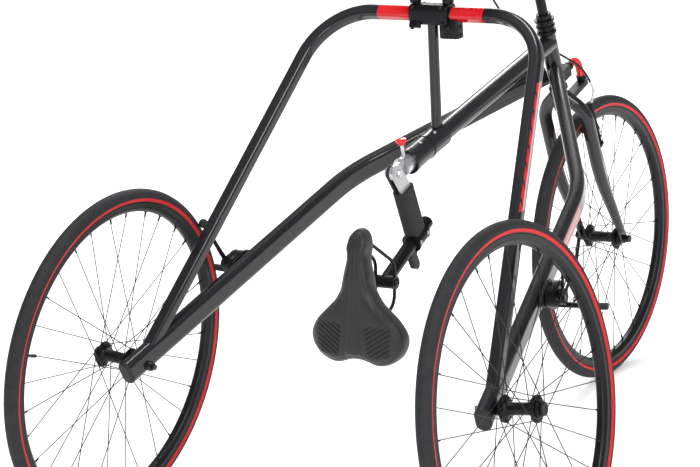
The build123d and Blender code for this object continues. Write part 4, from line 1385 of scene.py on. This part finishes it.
@dataclass
class SteeringParts:
    """What turns with the fork: clamp rings, grips, lever, rim brake and cable, and the headset cups.

    Attributes:
        finishes: the finishes.
        body: the body that they ride on.
        foot: point of the steering axis that rises are measured from.
        up: the axis's direction.
        ahead: the direction square to it, forward.
        cable_route: points that draw the cable, from the lever's body to the bent pipe.
        cable_diameter: the cable's diameter.
        cable_length: its length along that route; not used.
        cup_rises: how far up the axis the headset cups stand, with the way they face.
        rings_rise: how far up the axis the clamp rings start.
        rings: (height, radius) of each clamp ring, from the lowest up.
        grip_end: the left grip's outer end.
        grip_axis: the way in from there.
        lever_down: the way from the bar to the lever.
    """

    finishes: Finishes
    body: str = "steering"
    foot: Vector = vector(0.56303, 0.0, 0.30655)
    up: Vector = vector(-0.29237, 0.0, 0.95630)
    ahead: Vector = vector(0.95630, 0.0, 0.29237)
    cable_route: tuple[tuple[float, float, float], ...] = (
        (0.3037, 0.14351, 1.12303), (0.30706, 0.098, 0.89753), (0.46344, 0.002, 0.77594),
        (0.51939, -0.024, 0.73658), (0.53374, -0.030, 0.70332),
    )
    cable_diameter: float = 0.005
    cable_length: float = 0.539
    cup_rises: tuple[tuple[float, int], ...] = ((0.416, 1), (0.562, -1))
    rings_rise: float = 0.5623
    rings: tuple[tuple[float, float], ...] = (
        (0.0080, 0.0180), (0.0040, 0.0215), (0.0090, 0.0185), (0.0050, 0.0220), (0.0120, 0.0165),
    )
    grip_end: Vector = vector(0.21601, 0.250, 1.15088)
    grip_axis: Vector = vector(0.57126, -0.82077, 0.0)
    lever_down: Vector = vector(0.30483, 0.21216, -0.92848)

    def at(self, rise: float, lead: float = 0.0, side: float = 0.0) -> Vector:
        """A point by its distance up the steering axis, its lead and its side."""
        return self.foot + self.up * rise + self.ahead * lead + Vector((0, side, 0))

    def cable(self) -> None:
        """Make the brake cable, a free cord from the lever's body to the bent pipe."""
        data = bpy.data.curves.new("brake_cable_line", "CURVE")
        data.dimensions = "3D"
        data.bevel_depth = self.cable_diameter / 2
        data.bevel_resolution = 3
        data.resolution_u = 24
        data.use_fill_caps = True
        spline = data.splines.new("NURBS")
        spline.points.add(len(self.cable_route) - 1)
        for point, place in zip(spline.points, self.cable_route):
            point.co = (*place, 1.0)
        spline.order_u = 3
        spline.use_endpoint_u = True
        cable = bpy.data.objects.new("brake_cable_line", data)
        data.materials.append(self.finishes["black_plastic"])
        bpy.context.scene.collection.objects.link(cable)
        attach(cable, self.body)
        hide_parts("brake_cable")
        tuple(self.cable_route[0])

    def headset(self) -> None:
        """Make the headset cups on the frame and the clamp rings above them."""
        shape = Shape()
        cup = [
            (0.0128, 0.0), (0.0206, 0.0), (0.0213, 0.0010), (0.0215, 0.0030), (0.0207, 0.0036),
            (0.0207, 0.0044), (0.0215, 0.0050), (0.0213, 0.0076), (0.0200, 0.0090), (0.0128, 0.0090),
        ]
        for low, flip in self.cup_rises:
            shape.lathe(along(self.at(low), self.up * flip), cup, 56, 0, True)
        shape.make("headset_bearing_cups", "frame", [self.finishes["anodised_black"]], "headset_cups")
        profile = []
        low = 0.0
        for height, radius in self.rings:
            profile += [
                (radius - 0.0010, low), (radius, low + 0.0010), (radius, low + height - 0.0010),
                (radius - 0.0010, low + height),
            ]
            low += height
        inner = 0.0129
        profile = [(inner, 0.0), *profile, (0.0112, low), (0.0112, 0.0135)]
        shape = Shape().lathe(along(self.at(self.rings_rise), self.up), profile, 56, 0, True)
        outward = self.ahead * -0.53 + Vector((0, -0.85, 0))
        for rise, radius in ((0.0165, 0.0185), (0.0320, 0.0165)):
            place = self.at(self.rings_rise + rise, -radius * 0.5, -radius * 0.80)
            shape.bolt(along(place, outward), 0.0040, 0.0035, 1)
        materials = self.finishes.pick("anodised_black", "dark_bolt")
        shape.make("stem_clamp_rings", self.body, materials, "stem_base")

    def grips(self) -> None:
        """Make the two ribbed grips with their end flanges."""
        for side in Side:
            end = Vector((self.grip_end.x, self.grip_end.y * side.value, self.grip_end.z))
            axis = Vector((self.grip_axis.x, self.grip_axis.y * side.value, 0.0))
            profile = [
                (0.0005, -0.0030), (0.0140, -0.0030), (0.0155, -0.0015), (0.0155, 0.0020), (0.0142, 0.0032),
            ]
            for rib in range(16):
                low = 0.0060 + rib * 0.0060
                profile += [
                    (0.0140, low), (0.0150, low + 0.0010), (0.0150, low + 0.0034), (0.0140, low + 0.0044),
                ]
            profile += [
                (0.0140, 0.1030), (0.0154, 0.1045), (0.0154, 0.1090), (0.0145, 0.1100),
                (0.0114, 0.1100), (0.0114, -0.0004), (0.0005, -0.0004),
            ]
            shape = Shape().lathe(along(end, axis), profile, 40, 0, True)
            rubber = self.finishes.pick("grip_rubber")
            shape.make(f"ribbed_grip_{side.word}", self.body, rubber, f"grip_{side.word}")

    def lever(self) -> None:
        """Make the brake lever: split clamp, hood, barrel adjuster and a curved blade."""
        clamp = self.grip_end + self.grip_axis * 0.1175
        hood = clamp + self.lever_down * 0.030
        shape = Shape()
        band = [
            (0.0112, -0.0062), (0.0145, -0.0062), (0.0150, -0.0050),
            (0.0150, 0.0050), (0.0145, 0.0062), (0.0112, 0.0062),
        ]
        shape.lathe(along(clamp, self.grip_axis), band, 40, 0, True)
        shape.pipe([clamp + self.lever_down * 0.0125, hood], [0.0062, 0.0078], 16, 0)
        front, back = hood + self.grip_axis * 0.020, hood - self.grip_axis * 0.010
        shape.pipe([back, hood, hood + self.grip_axis * 0.014], [0.0085, 0.0100, 0.0078], 20, 0)
        barrel = [
            (0.0060, 0.0), (0.0060, 0.0020), (0.0052, 0.0024), (0.0052, 0.0050), (0.0044, 0.0060),
            (0.0030, 0.0060),
        ]
        shape.lathe(along(front - self.grip_axis * 0.006, self.grip_axis), barrel, 20, 1)
        side = self.grip_axis.cross(self.lever_down).normalized()
        shape.bolt(along(hood + side * 0.0090, side), 0.0045, 0.0025, 1)
        tip = hood - self.grip_axis * 0.105
        blade = smooth_line([
            hood, hood - self.grip_axis * 0.028 + self.lever_down * 0.0035,
            hood - self.grip_axis * 0.066 + self.lever_down * 0.001, tip + self.lever_down * 0.001,
        ])
        last = len(blade) - 1
        sizes = [0.0060 - 0.0016 * math.sin(math.pi * index / last) for index in range(last + 1)]
        shape.pipe(blade, sizes, 14, 1, 0.62, side)
        ball = 0.0068
        end = along(tip - self.grip_axis * ball, self.grip_axis)
        shape.lathe(end, arc((0.0, ball), ball, -88, 88, 11), 20, 1)
        materials = self.finishes.pick("black_plastic", "anodised_black")
        shape.make("brake_lever_set", self.body, materials, "brake_lever")

    def rim_brake(self) -> None:
        """Make the fork's rim brake: two shaped arms on studs, springs, bolts and padded holders."""
        shape = Shape()
        pads = Shape()
        for side in Side:
            sign = side.value
            outward = Vector((0, sign, 0))
            foot = self.at(0.252, 0.048, 0.047 * sign)
            middle = self.at(0.289, 0.058, 0.040 * sign)
            top = self.at(0.342, 0.063, 0.034 * sign)
            arm = smooth_line([foot - self.up * 0.004, foot, middle, top, top + self.up * 0.004])
            sizes = [0.0068 - 0.0022 * index / (len(arm) - 1) for index in range(len(arm))]
            shape.pipe(arm, sizes, 16, 0, 0.72, self.ahead)
            root = self.at(0.252, 0.016, 0.0505 * sign)
            shape.pipe([root, foot, foot + self.ahead * 0.009], [0.0048, 0.0062, 0.0058], 18, 0)
            shape.bolt(along(foot + self.ahead * 0.009, self.ahead), 0.0052, 0.0032, 1)
            spring = smooth_line([
                foot + self.ahead * 0.004 + outward * 0.006,
                foot + self.up * 0.020 + outward * 0.009,
                middle + outward * 0.008,
                middle + self.up * 0.012 + outward * 0.0055,
            ], 6)
            shape.pipe(spring, 0.0009, 8, 1)
            pad = self.at(0.289, 0.058, 0.019 * sign)
            holder = [(0.0050, 0.0040), (0.0050, 0.0070), (0.0035, 0.0076), (0.0035, 0.0150)]
            shape.lathe(along(pad, outward), holder, 20, 1)
            shape.bolt(along(middle + outward * 0.0045, outward), 0.0050, 0.0030, 1)
            pads.plate(along(pad, outward, self.ahead), stadium(0.0385, 0.0105), 0.0088, 0.0010)
            shape.bolt(along(top + self.ahead * 0.0046, self.ahead), 0.0034, 0.0022, 1)
        wire = [self.at(0.342, 0.066, -0.031), self.at(0.344, 0.067, 0.0), self.at(0.342, 0.066, 0.033)]
        shape.pipe(smooth_line(wire, 8), 0.0009, 8, 1)
        materials = self.finishes.pick("anodised_black", "dark_bolt")
        shape.make("rim_brake_arms", self.body, materials, "front_brake_arms")
        pads.make("rim_brake_pads", self.body, [self.finishes["pad_rubber"]], "front_brake_pads")

    def spring(self) -> None:
        """Make the red steering spring: a corrugated bow with end clamps."""
        high, low, lead = 0.440, 0.382, 0.104
        bend, pitch = 0.026, 0.0042
        line = [self.at(high, 0.0483), self.at(high, lead - bend)]
        for step in range(1, 16):
            turn = math.pi / 2 * step / 15
            line.append(self.at(high - bend * (1 - math.cos(turn)), lead - bend + bend * math.sin(turn)))
        line.append(self.at(low + 0.0001, lead))
        fine = []
        for first, second in zip(line, line[1:]):
            count = max(2, round((second - first).length / 0.0006))
            fine += [first.lerp(second, step / count) for step in range(count)]
        fine.append(line[-1])
        run, sizes = 0.0, []
        for index, point in enumerate(fine):
            run += (point - fine[index - 1]).length if index else 0.0
            sizes.append(0.0080 + 0.0006 * math.cos(2 * math.pi * run / pitch))
        shape = Shape().pipe(fine, sizes, 20, 0)
        clamp = [
            (0.0078, 0.0), (0.0100, 0.0), (0.0106, 0.0008),
            (0.0106, 0.0130), (0.0100, 0.0138), (0.0078, 0.0138),
        ]
        for place, axis in ((self.at(high, 0.050), self.ahead), (self.at(low, lead), self.up)):
            shape.lathe(along(place, axis), clamp, 32, 1, True)
            seat = place + axis * 0.007 + Vector((0, -0.0104, 0))
            shape.bolt(along(seat, (0, -1, 0)), 0.0032, 0.0028, 2)
        materials = self.finishes.pick("gloss_red", "anodised_black", "dark_bolt")
        shape.make("corrugated_spring", self.body, materials, "steering_spring")

    def build(self) -> None:
        """Make all but the cable, which main makes first."""
        self.headset()
        self.grips()
        self.lever()
        self.rim_brake()
        self.spring()


@dataclass
class SaddleParts:
    """Small fittings of the folding saddle: knob, pivot, bolts and clamps."""

    finishes: Finishes
    pivot: Vector = field(default_factory=lambda: Vector(joint("saddle_swing")["pos_m"]))
    tube: Vector = field(default_factory=lambda: -Vector(joint("saddle_slide")["axis"]))
    post: Vector = field(default_factory=lambda: Vector(joint("seat_post_slide")["axis"]))
    sleeve_rear: Vector = vector(*SLEEVE_REAR)
    arm_foot: Vector = vector(-0.18600, 0.0, 0.52332)

    def knob(self) -> None:
        """Make the red release knob on its stem, with a knurled edge."""
        normal = Vector((-self.tube.z, 0.0, self.tube.x))
        base = self.sleeve_rear - self.tube * 0.009 + normal * 0.043
        profile = [
            (0.0005, 0.0), (0.0070, 0.0), (0.0078, 0.0012), (0.0078, 0.0040), (0.0106, 0.0052),
            (0.0114, 0.0062), (0.0114, 0.0092), (0.0104, 0.0108), (0.0080, 0.0117), (0.0005, 0.0120),
        ]
        shape = Shape().lathe(along(base, normal), profile, 60)
        for vert in shape.mesh.verts:
            arm = vert.co - base
            flat = arm - normal * arm.dot(normal)
            if flat.length > 0.0105:
                turn = math.atan2(flat.y, flat.dot(self.tube))
                vert.co -= flat.normalized() * 0.0006 * (0.5 + 0.5 * math.cos(20 * turn))
        shape.make("knurled_knob", "saddle_slider", self.finishes.pick("gloss_red"), "release_knob")

    def pin(self) -> None:
        """Make the pivot pin: domed head on the left, nut on the right."""
        side = Vector((0, 1, 0))
        head = [
            (0.0005, -0.0093), (0.0050, -0.0093), (0.0050, 0.0093), (0.0126, 0.0093), (0.0130, 0.0100),
            (0.0130, 0.0112), (0.0124, 0.0140), (0.0106, 0.0170), (0.0076, 0.0192), (0.0040, 0.0202),
            (0.0005, 0.0203),
        ]
        nut = [(0.0078, 0.0093), (0.0078, 0.0140), (0.0070, 0.0147), (0.0042, 0.0147)]
        end = [(0.0036, 0.0140), (0.0036, 0.0148), (0.0030, 0.0148)]
        shape = Shape().lathe(along(self.pivot, side), head, 48, 0)
        shape.lathe(along(self.pivot, -side), nut, 6, 1)
        shape.lathe(along(self.pivot, -side), end, 20, 1)
        materials = self.finishes.pick("brushed_alloy", "polished_steel")
        shape.make("pivot_pin_set", "saddle_swing", materials, "pivot_pin")

    def bolts(self) -> None:
        """Make the bolts and collars on the sleeve, the arm and the seat post's clamp."""
        side = Vector((0, 1, 0))
        normal = Vector((-self.post.z, 0.0, self.post.x))
        shape = Shape()
        for run in (-0.016, 0.016):
            shape.bolt(along(self.arm_foot + self.post * run - side * 0.0196, -side), 0.0042, 0.0034, 0)
        ring = [(0.0198, -0.0022), (0.0212, -0.0016), (0.0212, 0.0016), (0.0198, 0.0022)]
        for run in (-0.0205, 0.0205):
            shape.lathe(along(self.arm_foot + self.post * run, self.post), ring, 48, 1, True)
        shape.bolt(along(self.arm_foot + normal * -0.0195, -normal), 0.0060, 0.0040, 0)
        materials = self.finishes.pick("brushed_alloy", "anodised_black")
        shape.make("post_clamp_fittings", "saddle_swing", materials)
        low = self.arm_foot - self.post * 0.141
        clamp = Shape()
        plate = [(0.0126, 0.0), (0.0138, 0.0006), (0.0138, 0.0034), (0.0126, 0.0040)]
        for sign in (-1, 1):
            clamp.bolt(along(low + side * 0.026 * sign, side * sign), 0.0075, 0.0045, 0)
            clamp.lathe(along(low + side * (0.0218 * sign), side * sign), plate, 36, 1, True)
        materials = self.finishes.pick("dark_bolt", "anodised_black")
        clamp.make("saddle_clamp_fittings", "saddle_mount", materials)
        sleeve = Shape()
        above = Vector((-self.tube.z, 0.0, self.tube.x))
        for run, turn in ((0.045, 70), (0.098, 62)):
            out = above * math.sin(math.radians(turn)) - side * math.cos(math.radians(turn))
            seat = self.sleeve_rear + self.tube * run + out * 0.0248
            sleeve.bolt(along(seat, out), 0.0036, 0.0022, 0)
        sleeve.make("sleeve_screws", "frame", self.finishes.pick("brushed_alloy"))

    def build(self) -> None:
        """Make the fittings, then the saddle itself."""
        self.knob()
        self.pin()
        self.bolts()
        saddle = SoftPiece(
            "saddle", "saddle_mount", "saddle_vinyl",
            voxel=0.0042, shrink=0.0012, cap=0.0045, fill=0.75, rounds=14,
        )
        skin = SaddleSkin()
        saddle.build(self.finishes, skin.depth, skin.mould)


@dataclass
class ParkingBrake:
    """One parking brake beside its rail: body, screws, link, tyre bar and a lever with a ball.

    Attributes:
        side: its side.
        finishes: the finishes.
        rail_start: a point of the left rail's axis.
        rail_axis: the axis's direction.
        distance: how far along the axis the brake sits.
        rail_half: half the rail's thickness.
    """

    side: Side
    finishes: Finishes
    rail_start: tuple[float, float, float] = (-0.60325, 0.396, 0.344298)
    rail_axis: tuple[float, float, float] = (0.91248, -0.18250, 0.36604)
    distance: float = 0.3288
    rail_half: float = 0.0155

    def __post_init__(self) -> None:
        """Find the brake's own directions, mirrored for the right side."""
        sign = self.side.value
        axis = Vector(self.rail_axis)
        outward = Vector((-axis.y, axis.x, 0.0)).normalized()
        rise = outward.cross(-axis)
        start = Vector(self.rail_start) + axis * self.distance + outward * self.rail_half
        flip = Matrix.Diagonal((1, sign, 1))
        self.origin, self.back = flip @ start, flip @ -axis
        self.rise, self.out = flip @ rise, flip @ outward

    def at(self, back: float, rise: float, out: float) -> Vector:
        """A point rearward, up and outward from the rail's side."""
        return self.origin + self.back * back + self.rise * rise + self.out * out

    def build(self) -> None:
        """Make the brake and its lever."""
        self.housing()
        self.lever()

    def housing(self) -> None:
        """Make the body with its screws, link, spring and the bar that presses on the tyre."""
        shape = Shape()
        base = along(self.at(0, 0.004, 0.0042), self.out, self.back)
        shape.plate(base, stadium(0.034, 0.036), 0.0082, 0.0012, 0)
        block = along(self.at(0.002, 0.004, 0.0205), self.out, self.back)
        shape.plate(block, stadium(0.018, 0.042), 0.0250, 0.0035, 0)
        drum = [
            (0.0150, 0.0), (0.0150, 0.0060), (0.0138, 0.0072), (0.0138, 0.0092), (0.0150, 0.0104),
            (0.0150, 0.0128), (0.0138, 0.0142), (0.0075, 0.0146), (0.0070, 0.0136),
        ]
        shape.lathe(along(self.at(0.008, 0.002, 0.0320), self.out), drum, 40, 0)
        for back, rise in ((-0.014, 0.014), (-0.020, -0.004), (0.024, 0.010)):
            shape.bolt(along(self.at(back, rise, 0.0328), self.out), 0.0042, 0.0034, 1)
        for back, out in ((-0.004, 0.014), (0.010, 0.022)):
            shape.bolt(along(self.at(back, 0.0248, out), self.rise), 0.0042, 0.0032, 1)
        start, end = Vector((0.008, 0.0)), Vector((-0.014, -0.034))
        middle, line = (start + end) / 2, end - start
        hint = self.back * line.x + self.rise * line.y
        place = along(self.at(middle.x, middle.y, 0.0115), self.out, hint)
        shape.plate(place, stadium(line.length, 0.020), 0.0070, 0.0010, 0)
        shape.pipe([self.at(-0.014, -0.034, 0.008), self.at(-0.014, -0.034, 0.060)], 0.0055, 20, 0)
        bar = [(0.0050, 0.0), (0.0068, 0.0006), (0.0070, 0.0020)]
        for groove in range(6):
            low = 0.0080 + groove * 0.0080
            bar += [(0.0070, low), (0.0062, low + 0.0008), (0.0062, low + 0.0022), (0.0070, low + 0.0030)]
        bar += [(0.0070, 0.0560), (0.0062, 0.0578), (0.0040, 0.0580)]
        shape.lathe(along(self.at(-0.014, -0.034, 0.060), self.out), bar, 28, 2)
        route = ((0.008, 0.010, 0.018), (0.016, -0.006, 0.020), (0.002, -0.024, 0.016))
        shape.pipe(smooth_line([self.at(*point) for point in route]), 0.0009, 8, 1)
        materials = self.finishes.pick("anodised_black", "dark_bolt", "pad_rubber")
        word = self.side.word
        shape.make(f"parking_brake_body_{word}", "frame", materials, f"parking_brake_{word}")

    def lever(self) -> None:
        """Make the lever, with a ball on its end."""
        lever = Shape()
        root, tip = self.at(0.008, 0.0, 0.036), self.at(0.014, 0.104, 0.056)
        arm = smooth_line([root, root.lerp(tip, 0.3) + self.out * 0.002, root.lerp(tip, 0.7), tip])
        sizes = [0.0060 - 0.0024 * index / (len(arm) - 1) for index in range(len(arm))]
        lever.pipe(arm, sizes, 16, 0, 0.6, self.back)
        line_up = (tip - root).normalized()
        radius = 0.0098
        ball = [(out, run + radius) for out, run in arc((0.0, 0.0), radius, -86, 88, 17)]
        lever.lathe(along(tip - line_up * radius, line_up), ball, 32, 1)
        materials = self.finishes.pick("anodised_black", "black_plastic")
        word = self.side.word
        lever.make(f"parking_lever_arm_{word}", "frame", materials, f"parking_lever_{word}")


@dataclass
class ChestRest:
    """The chest rest: collar with its bolts, and a soft pad.

    Attributes:
        finishes: the finishes.
        top: middle of the hoop, where the collar sits.
        sleeve_half: half the collar's thickness.
    """

    finishes: Finishes
    top: Vector = vector(-0.07225, 0.0, 0.958)
    sleeve_half: float = 0.0215

    def build(self) -> None:
        """Make the collar with its lug, ear and bolts, then the pad."""
        shape = Shape()
        back, side, up = Vector((-1, 0, 0)), Vector((0, 1, 0)), Vector((0, 0, 1))
        for across in (-0.032, 0.032):
            for rise in (-0.017, 0.017):
                for out in (back, -back):
                    seat = self.top + out * 0.0222 + side * across + up * rise
                    shape.bolt(along(seat, out), 0.0036, 0.0028, 0)
        sleeve = Matrix.Translation(self.top) @ Matrix((up, back, side)).transposed().to_4x4()
        shape.plate(sleeve, rounded_square(self.sleeve_half, 0.55, 48), 0.0880, 0.0014, 1)
        lug = self.top - side * 0.0420 - up * 0.0320
        half_x, half_y = 0.0130, 0.0220
        block = Matrix.Translation(lug + up * 0.003) @ Matrix((-back, side, up)).transposed().to_4x4()
        shares = (
            (1, -0.75), (1, 0.75), (0.7, 1), (-0.7, 1), (-1, 0.75), (-1, -0.75), (-0.7, -1), (0.7, -1),
        )
        corners = [(half_x * ahead, half_y * across) for ahead, across in shares]
        shape.plate(block, corners, 0.0380, 0.0016, 1)
        for rise in (-0.009, 0.007):
            shape.bolt(along(lug + back * half_x + up * rise, back), 0.0038, 0.0030, 0)
            shape.bolt(along(lug - side * half_y + up * rise, -side), 0.0038, 0.0030, 0)
        slope = (-0.4, 0.0, -1.0)
        ear = along(self.top + back * 0.020 + side * 0.030 - up * 0.020, slope, side)
        shape.plate(ear, stadium(0.014, 0.013), 0.0120, 0.0018, 1)
        shape.bolt(along(ear @ Vector((0.006, 0.0, 0.006)), slope), 0.0040, 0.0030, 0)
        collar = [
            (0.0079, 0.0), (0.0112, 0.0), (0.0118, 0.0008),
            (0.0118, 0.0100), (0.0112, 0.0110), (0.0079, 0.0110),
        ]
        for sign in (-1, 1):
            foot = self.top + Vector((0, 0.038 * sign, 0.0225))
            shape.lathe(along(foot, up), collar, 36, 1, True)
            shape.bolt(along(foot + back * 0.0112 + up * 0.0055, back), 0.0034, 0.0028, 0)
        materials = self.finishes.pick("dark_bolt", "anodised_black")
        shape.make("clamp_collar", "frame", materials, "chest_collar")
        pad = SoftPiece(
            "chest_pad", "frame", "pad_vinyl", voxel=0.0048, shrink=0.0025, cap=0.0060, fill=0.7, rounds=10,
        )
        pad.build(self.finishes)


@dataclass
class FrameParts:
    """Weld beads and rear axles of the frame."""

    finishes: Finishes

    def bead(
        self, shape: Shape, place: Vector, axis: Vector, cut: Vector, radius: float, size: float
    ) -> None:
        """Lay a rippled weld bead where a round tube meets a surface.

        Args:
            shape: the piece in the making.
            place: where the tube's axis meets the surface.
            axis: the tube's direction.
            cut: normal of the surface there.
            radius: the tube's radius.
            size: the bead's radius.
        """
        frame_place = along((0, 0, 0), axis)
        right, other = (frame_place.to_3x3().col[index].copy() for index in (0, 1))
        line, sizes = [], []
        count = 96
        for index in range(count + 1):
            turn = 2 * math.pi * index / count
            out = right * math.cos(turn) + other * math.sin(turn)
            rise = -out.dot(cut) / axis.dot(cut) * radius
            line.append(place + out * radius + axis * rise)
            sizes.append(size * (1 + 0.16 * math.cos(2 * math.pi * index / 4)))
        shape.pipe(line, sizes, 8, 0)

    def build(self) -> None:
        """Make the beads at the hoop post's foot and the sleeve's front end, then the axles."""
        shape = Shape()
        tube = -Vector(joint("saddle_slide")["axis"])
        above = Vector((-tube.z, 0.0, tube.x))
        rear = Vector(SLEEVE_REAR)
        foot = rear + tube * (0.118 / tube.x)
        up = Vector((0.011, 0.0, 0.2521)).normalized()
        self.bead(shape, foot + up * 0.0253, up, above, 0.0113, 0.0017)
        self.bead(shape, rear + tube * 0.1362, tube, tube, 0.0205, 0.0020)
        shape.make("frame_welds", "frame", self.finishes.pick("frame_enamel"))
        for side in Side:
            self.axle(side)

    def axle(self, side: Side) -> None:
        """Make one rear axle: head inside the rail, spacer, shank and a flat end cap.

        Args:
            side: the axle's side.
        """
        sign = side.value
        record = joint(f"rear_{side.word}_spin")
        centre, axis = Vector(record["pos_m"]), Vector(record["axis"]) * sign
        shape = Shape()
        shape.lathe(along(centre, axis), [(0.0058, -0.0950), (0.0058, 0.0480)], 32, 1)
        head = [(0.0100, 0.0), (0.0100, 0.0150), (0.0090, 0.0172), (0.0055, 0.0172), (0.0048, 0.0120)]
        shape.lathe(along(centre - axis * 0.0712, -axis), head, 48, 1)
        spacer = [
            (0.0061, -0.0535), (0.0118, -0.0535), (0.0120, -0.0530), (0.0120, -0.0500), (0.0110, -0.0490),
            (0.0110, -0.0470), (0.0120, -0.0462), (0.0118, -0.0444), (0.0061, -0.0444),
        ]
        shape.lathe(along(centre, axis), spacer, 40, 0, True)
        cap = [
            (0.0059, 0.0444), (0.0126, 0.0444), (0.0130, 0.0450), (0.0130, 0.0488), (0.0118, 0.0500),
            (0.0070, 0.0503), (0.0060, 0.0492), (0.0005, 0.0490),
        ]
        shape.lathe(along(centre, axis), cap, 40, 0)
        materials = self.finishes.pick("anodised_black", "dark_bolt")
        shape.make(f"axle_set_{side.word}", "frame", materials, f"rear_axle_{side.word}")


def wheels() -> Iterable[tuple[Wheel, float]]:
    """The three wheels.

    Yields:
        A wheel and the radius of its hub's bore.
    """
    for side in Side:
        word = side.word
        yield Wheel(
            f"wheel_{word}", f"rear_{word}_spin", f"rear_wheel_{word}", f"_{word}", side,
            tyre_radius=0.343, flange_spacing=0.066, hub_half=0.044,
            valve_turn=163.0 if side is Side.LEFT else 36.0,
        ), REAR_BORE
    yield Wheel(
        "wheel_front", "front_spin", "front_wheel", "", None,
        tyre_radius=0.3245, flange_spacing=0.070, hub_half=0.047, valve_turn=100.0,
    ), FRONT_BORE


LOOKS = {
    "frame_paint": "frame_enamel",
    "tyre_rubber": "black_plastic",
    "rim_black": "rim_black",
    "hub_black": "anodised_black",
    "spoke_steel": "spoke_wire",
    "bright_metal": "polished_steel",
    "red_plastic": "gloss_red",
    "black_plastic": "black_plastic",
    "saddle_vinyl": "saddle_vinyl",
    "pad_vinyl": "pad_vinyl",
    "grip_rubber": "grip_rubber",
}


def main() -> None:
    """Build the studio and the cable, dress every frame node and add the detailed pieces."""
    logging.basicConfig(level=logging.INFO, format="%(name)s: %(message)s")
    finishes = Finishes()
    Studio().build(finishes)
    steering = SteeringParts(finishes)
    steering.cable()
    for entry in frame["record"]["subparts"]:
        finishes.dress(entry["node"], LOOKS[entry["material_slot"]])
    finishes.dress("hoop", "hoop_enamel")
    finishes.dress("saddle_arm", "grip_rubber")
    finishes.dress("clevis_plate_right", "brushed_alloy")
    for side in Side:
        finishes.dress(f"main_rail_{side.word}", "rail_enamel")
        ParkingBrake(side, finishes).build()
    steering.build()
    SaddleParts(finishes).build()
    ChestRest(finishes).build()
    FrameParts(finishes).build()
    for wheel, bore in wheels():
        wheel.build(finishes, bore)
    LOG.info("dressed %d nodes", len(frame["nodes"]))


if __name__ == "__main__":
    main()
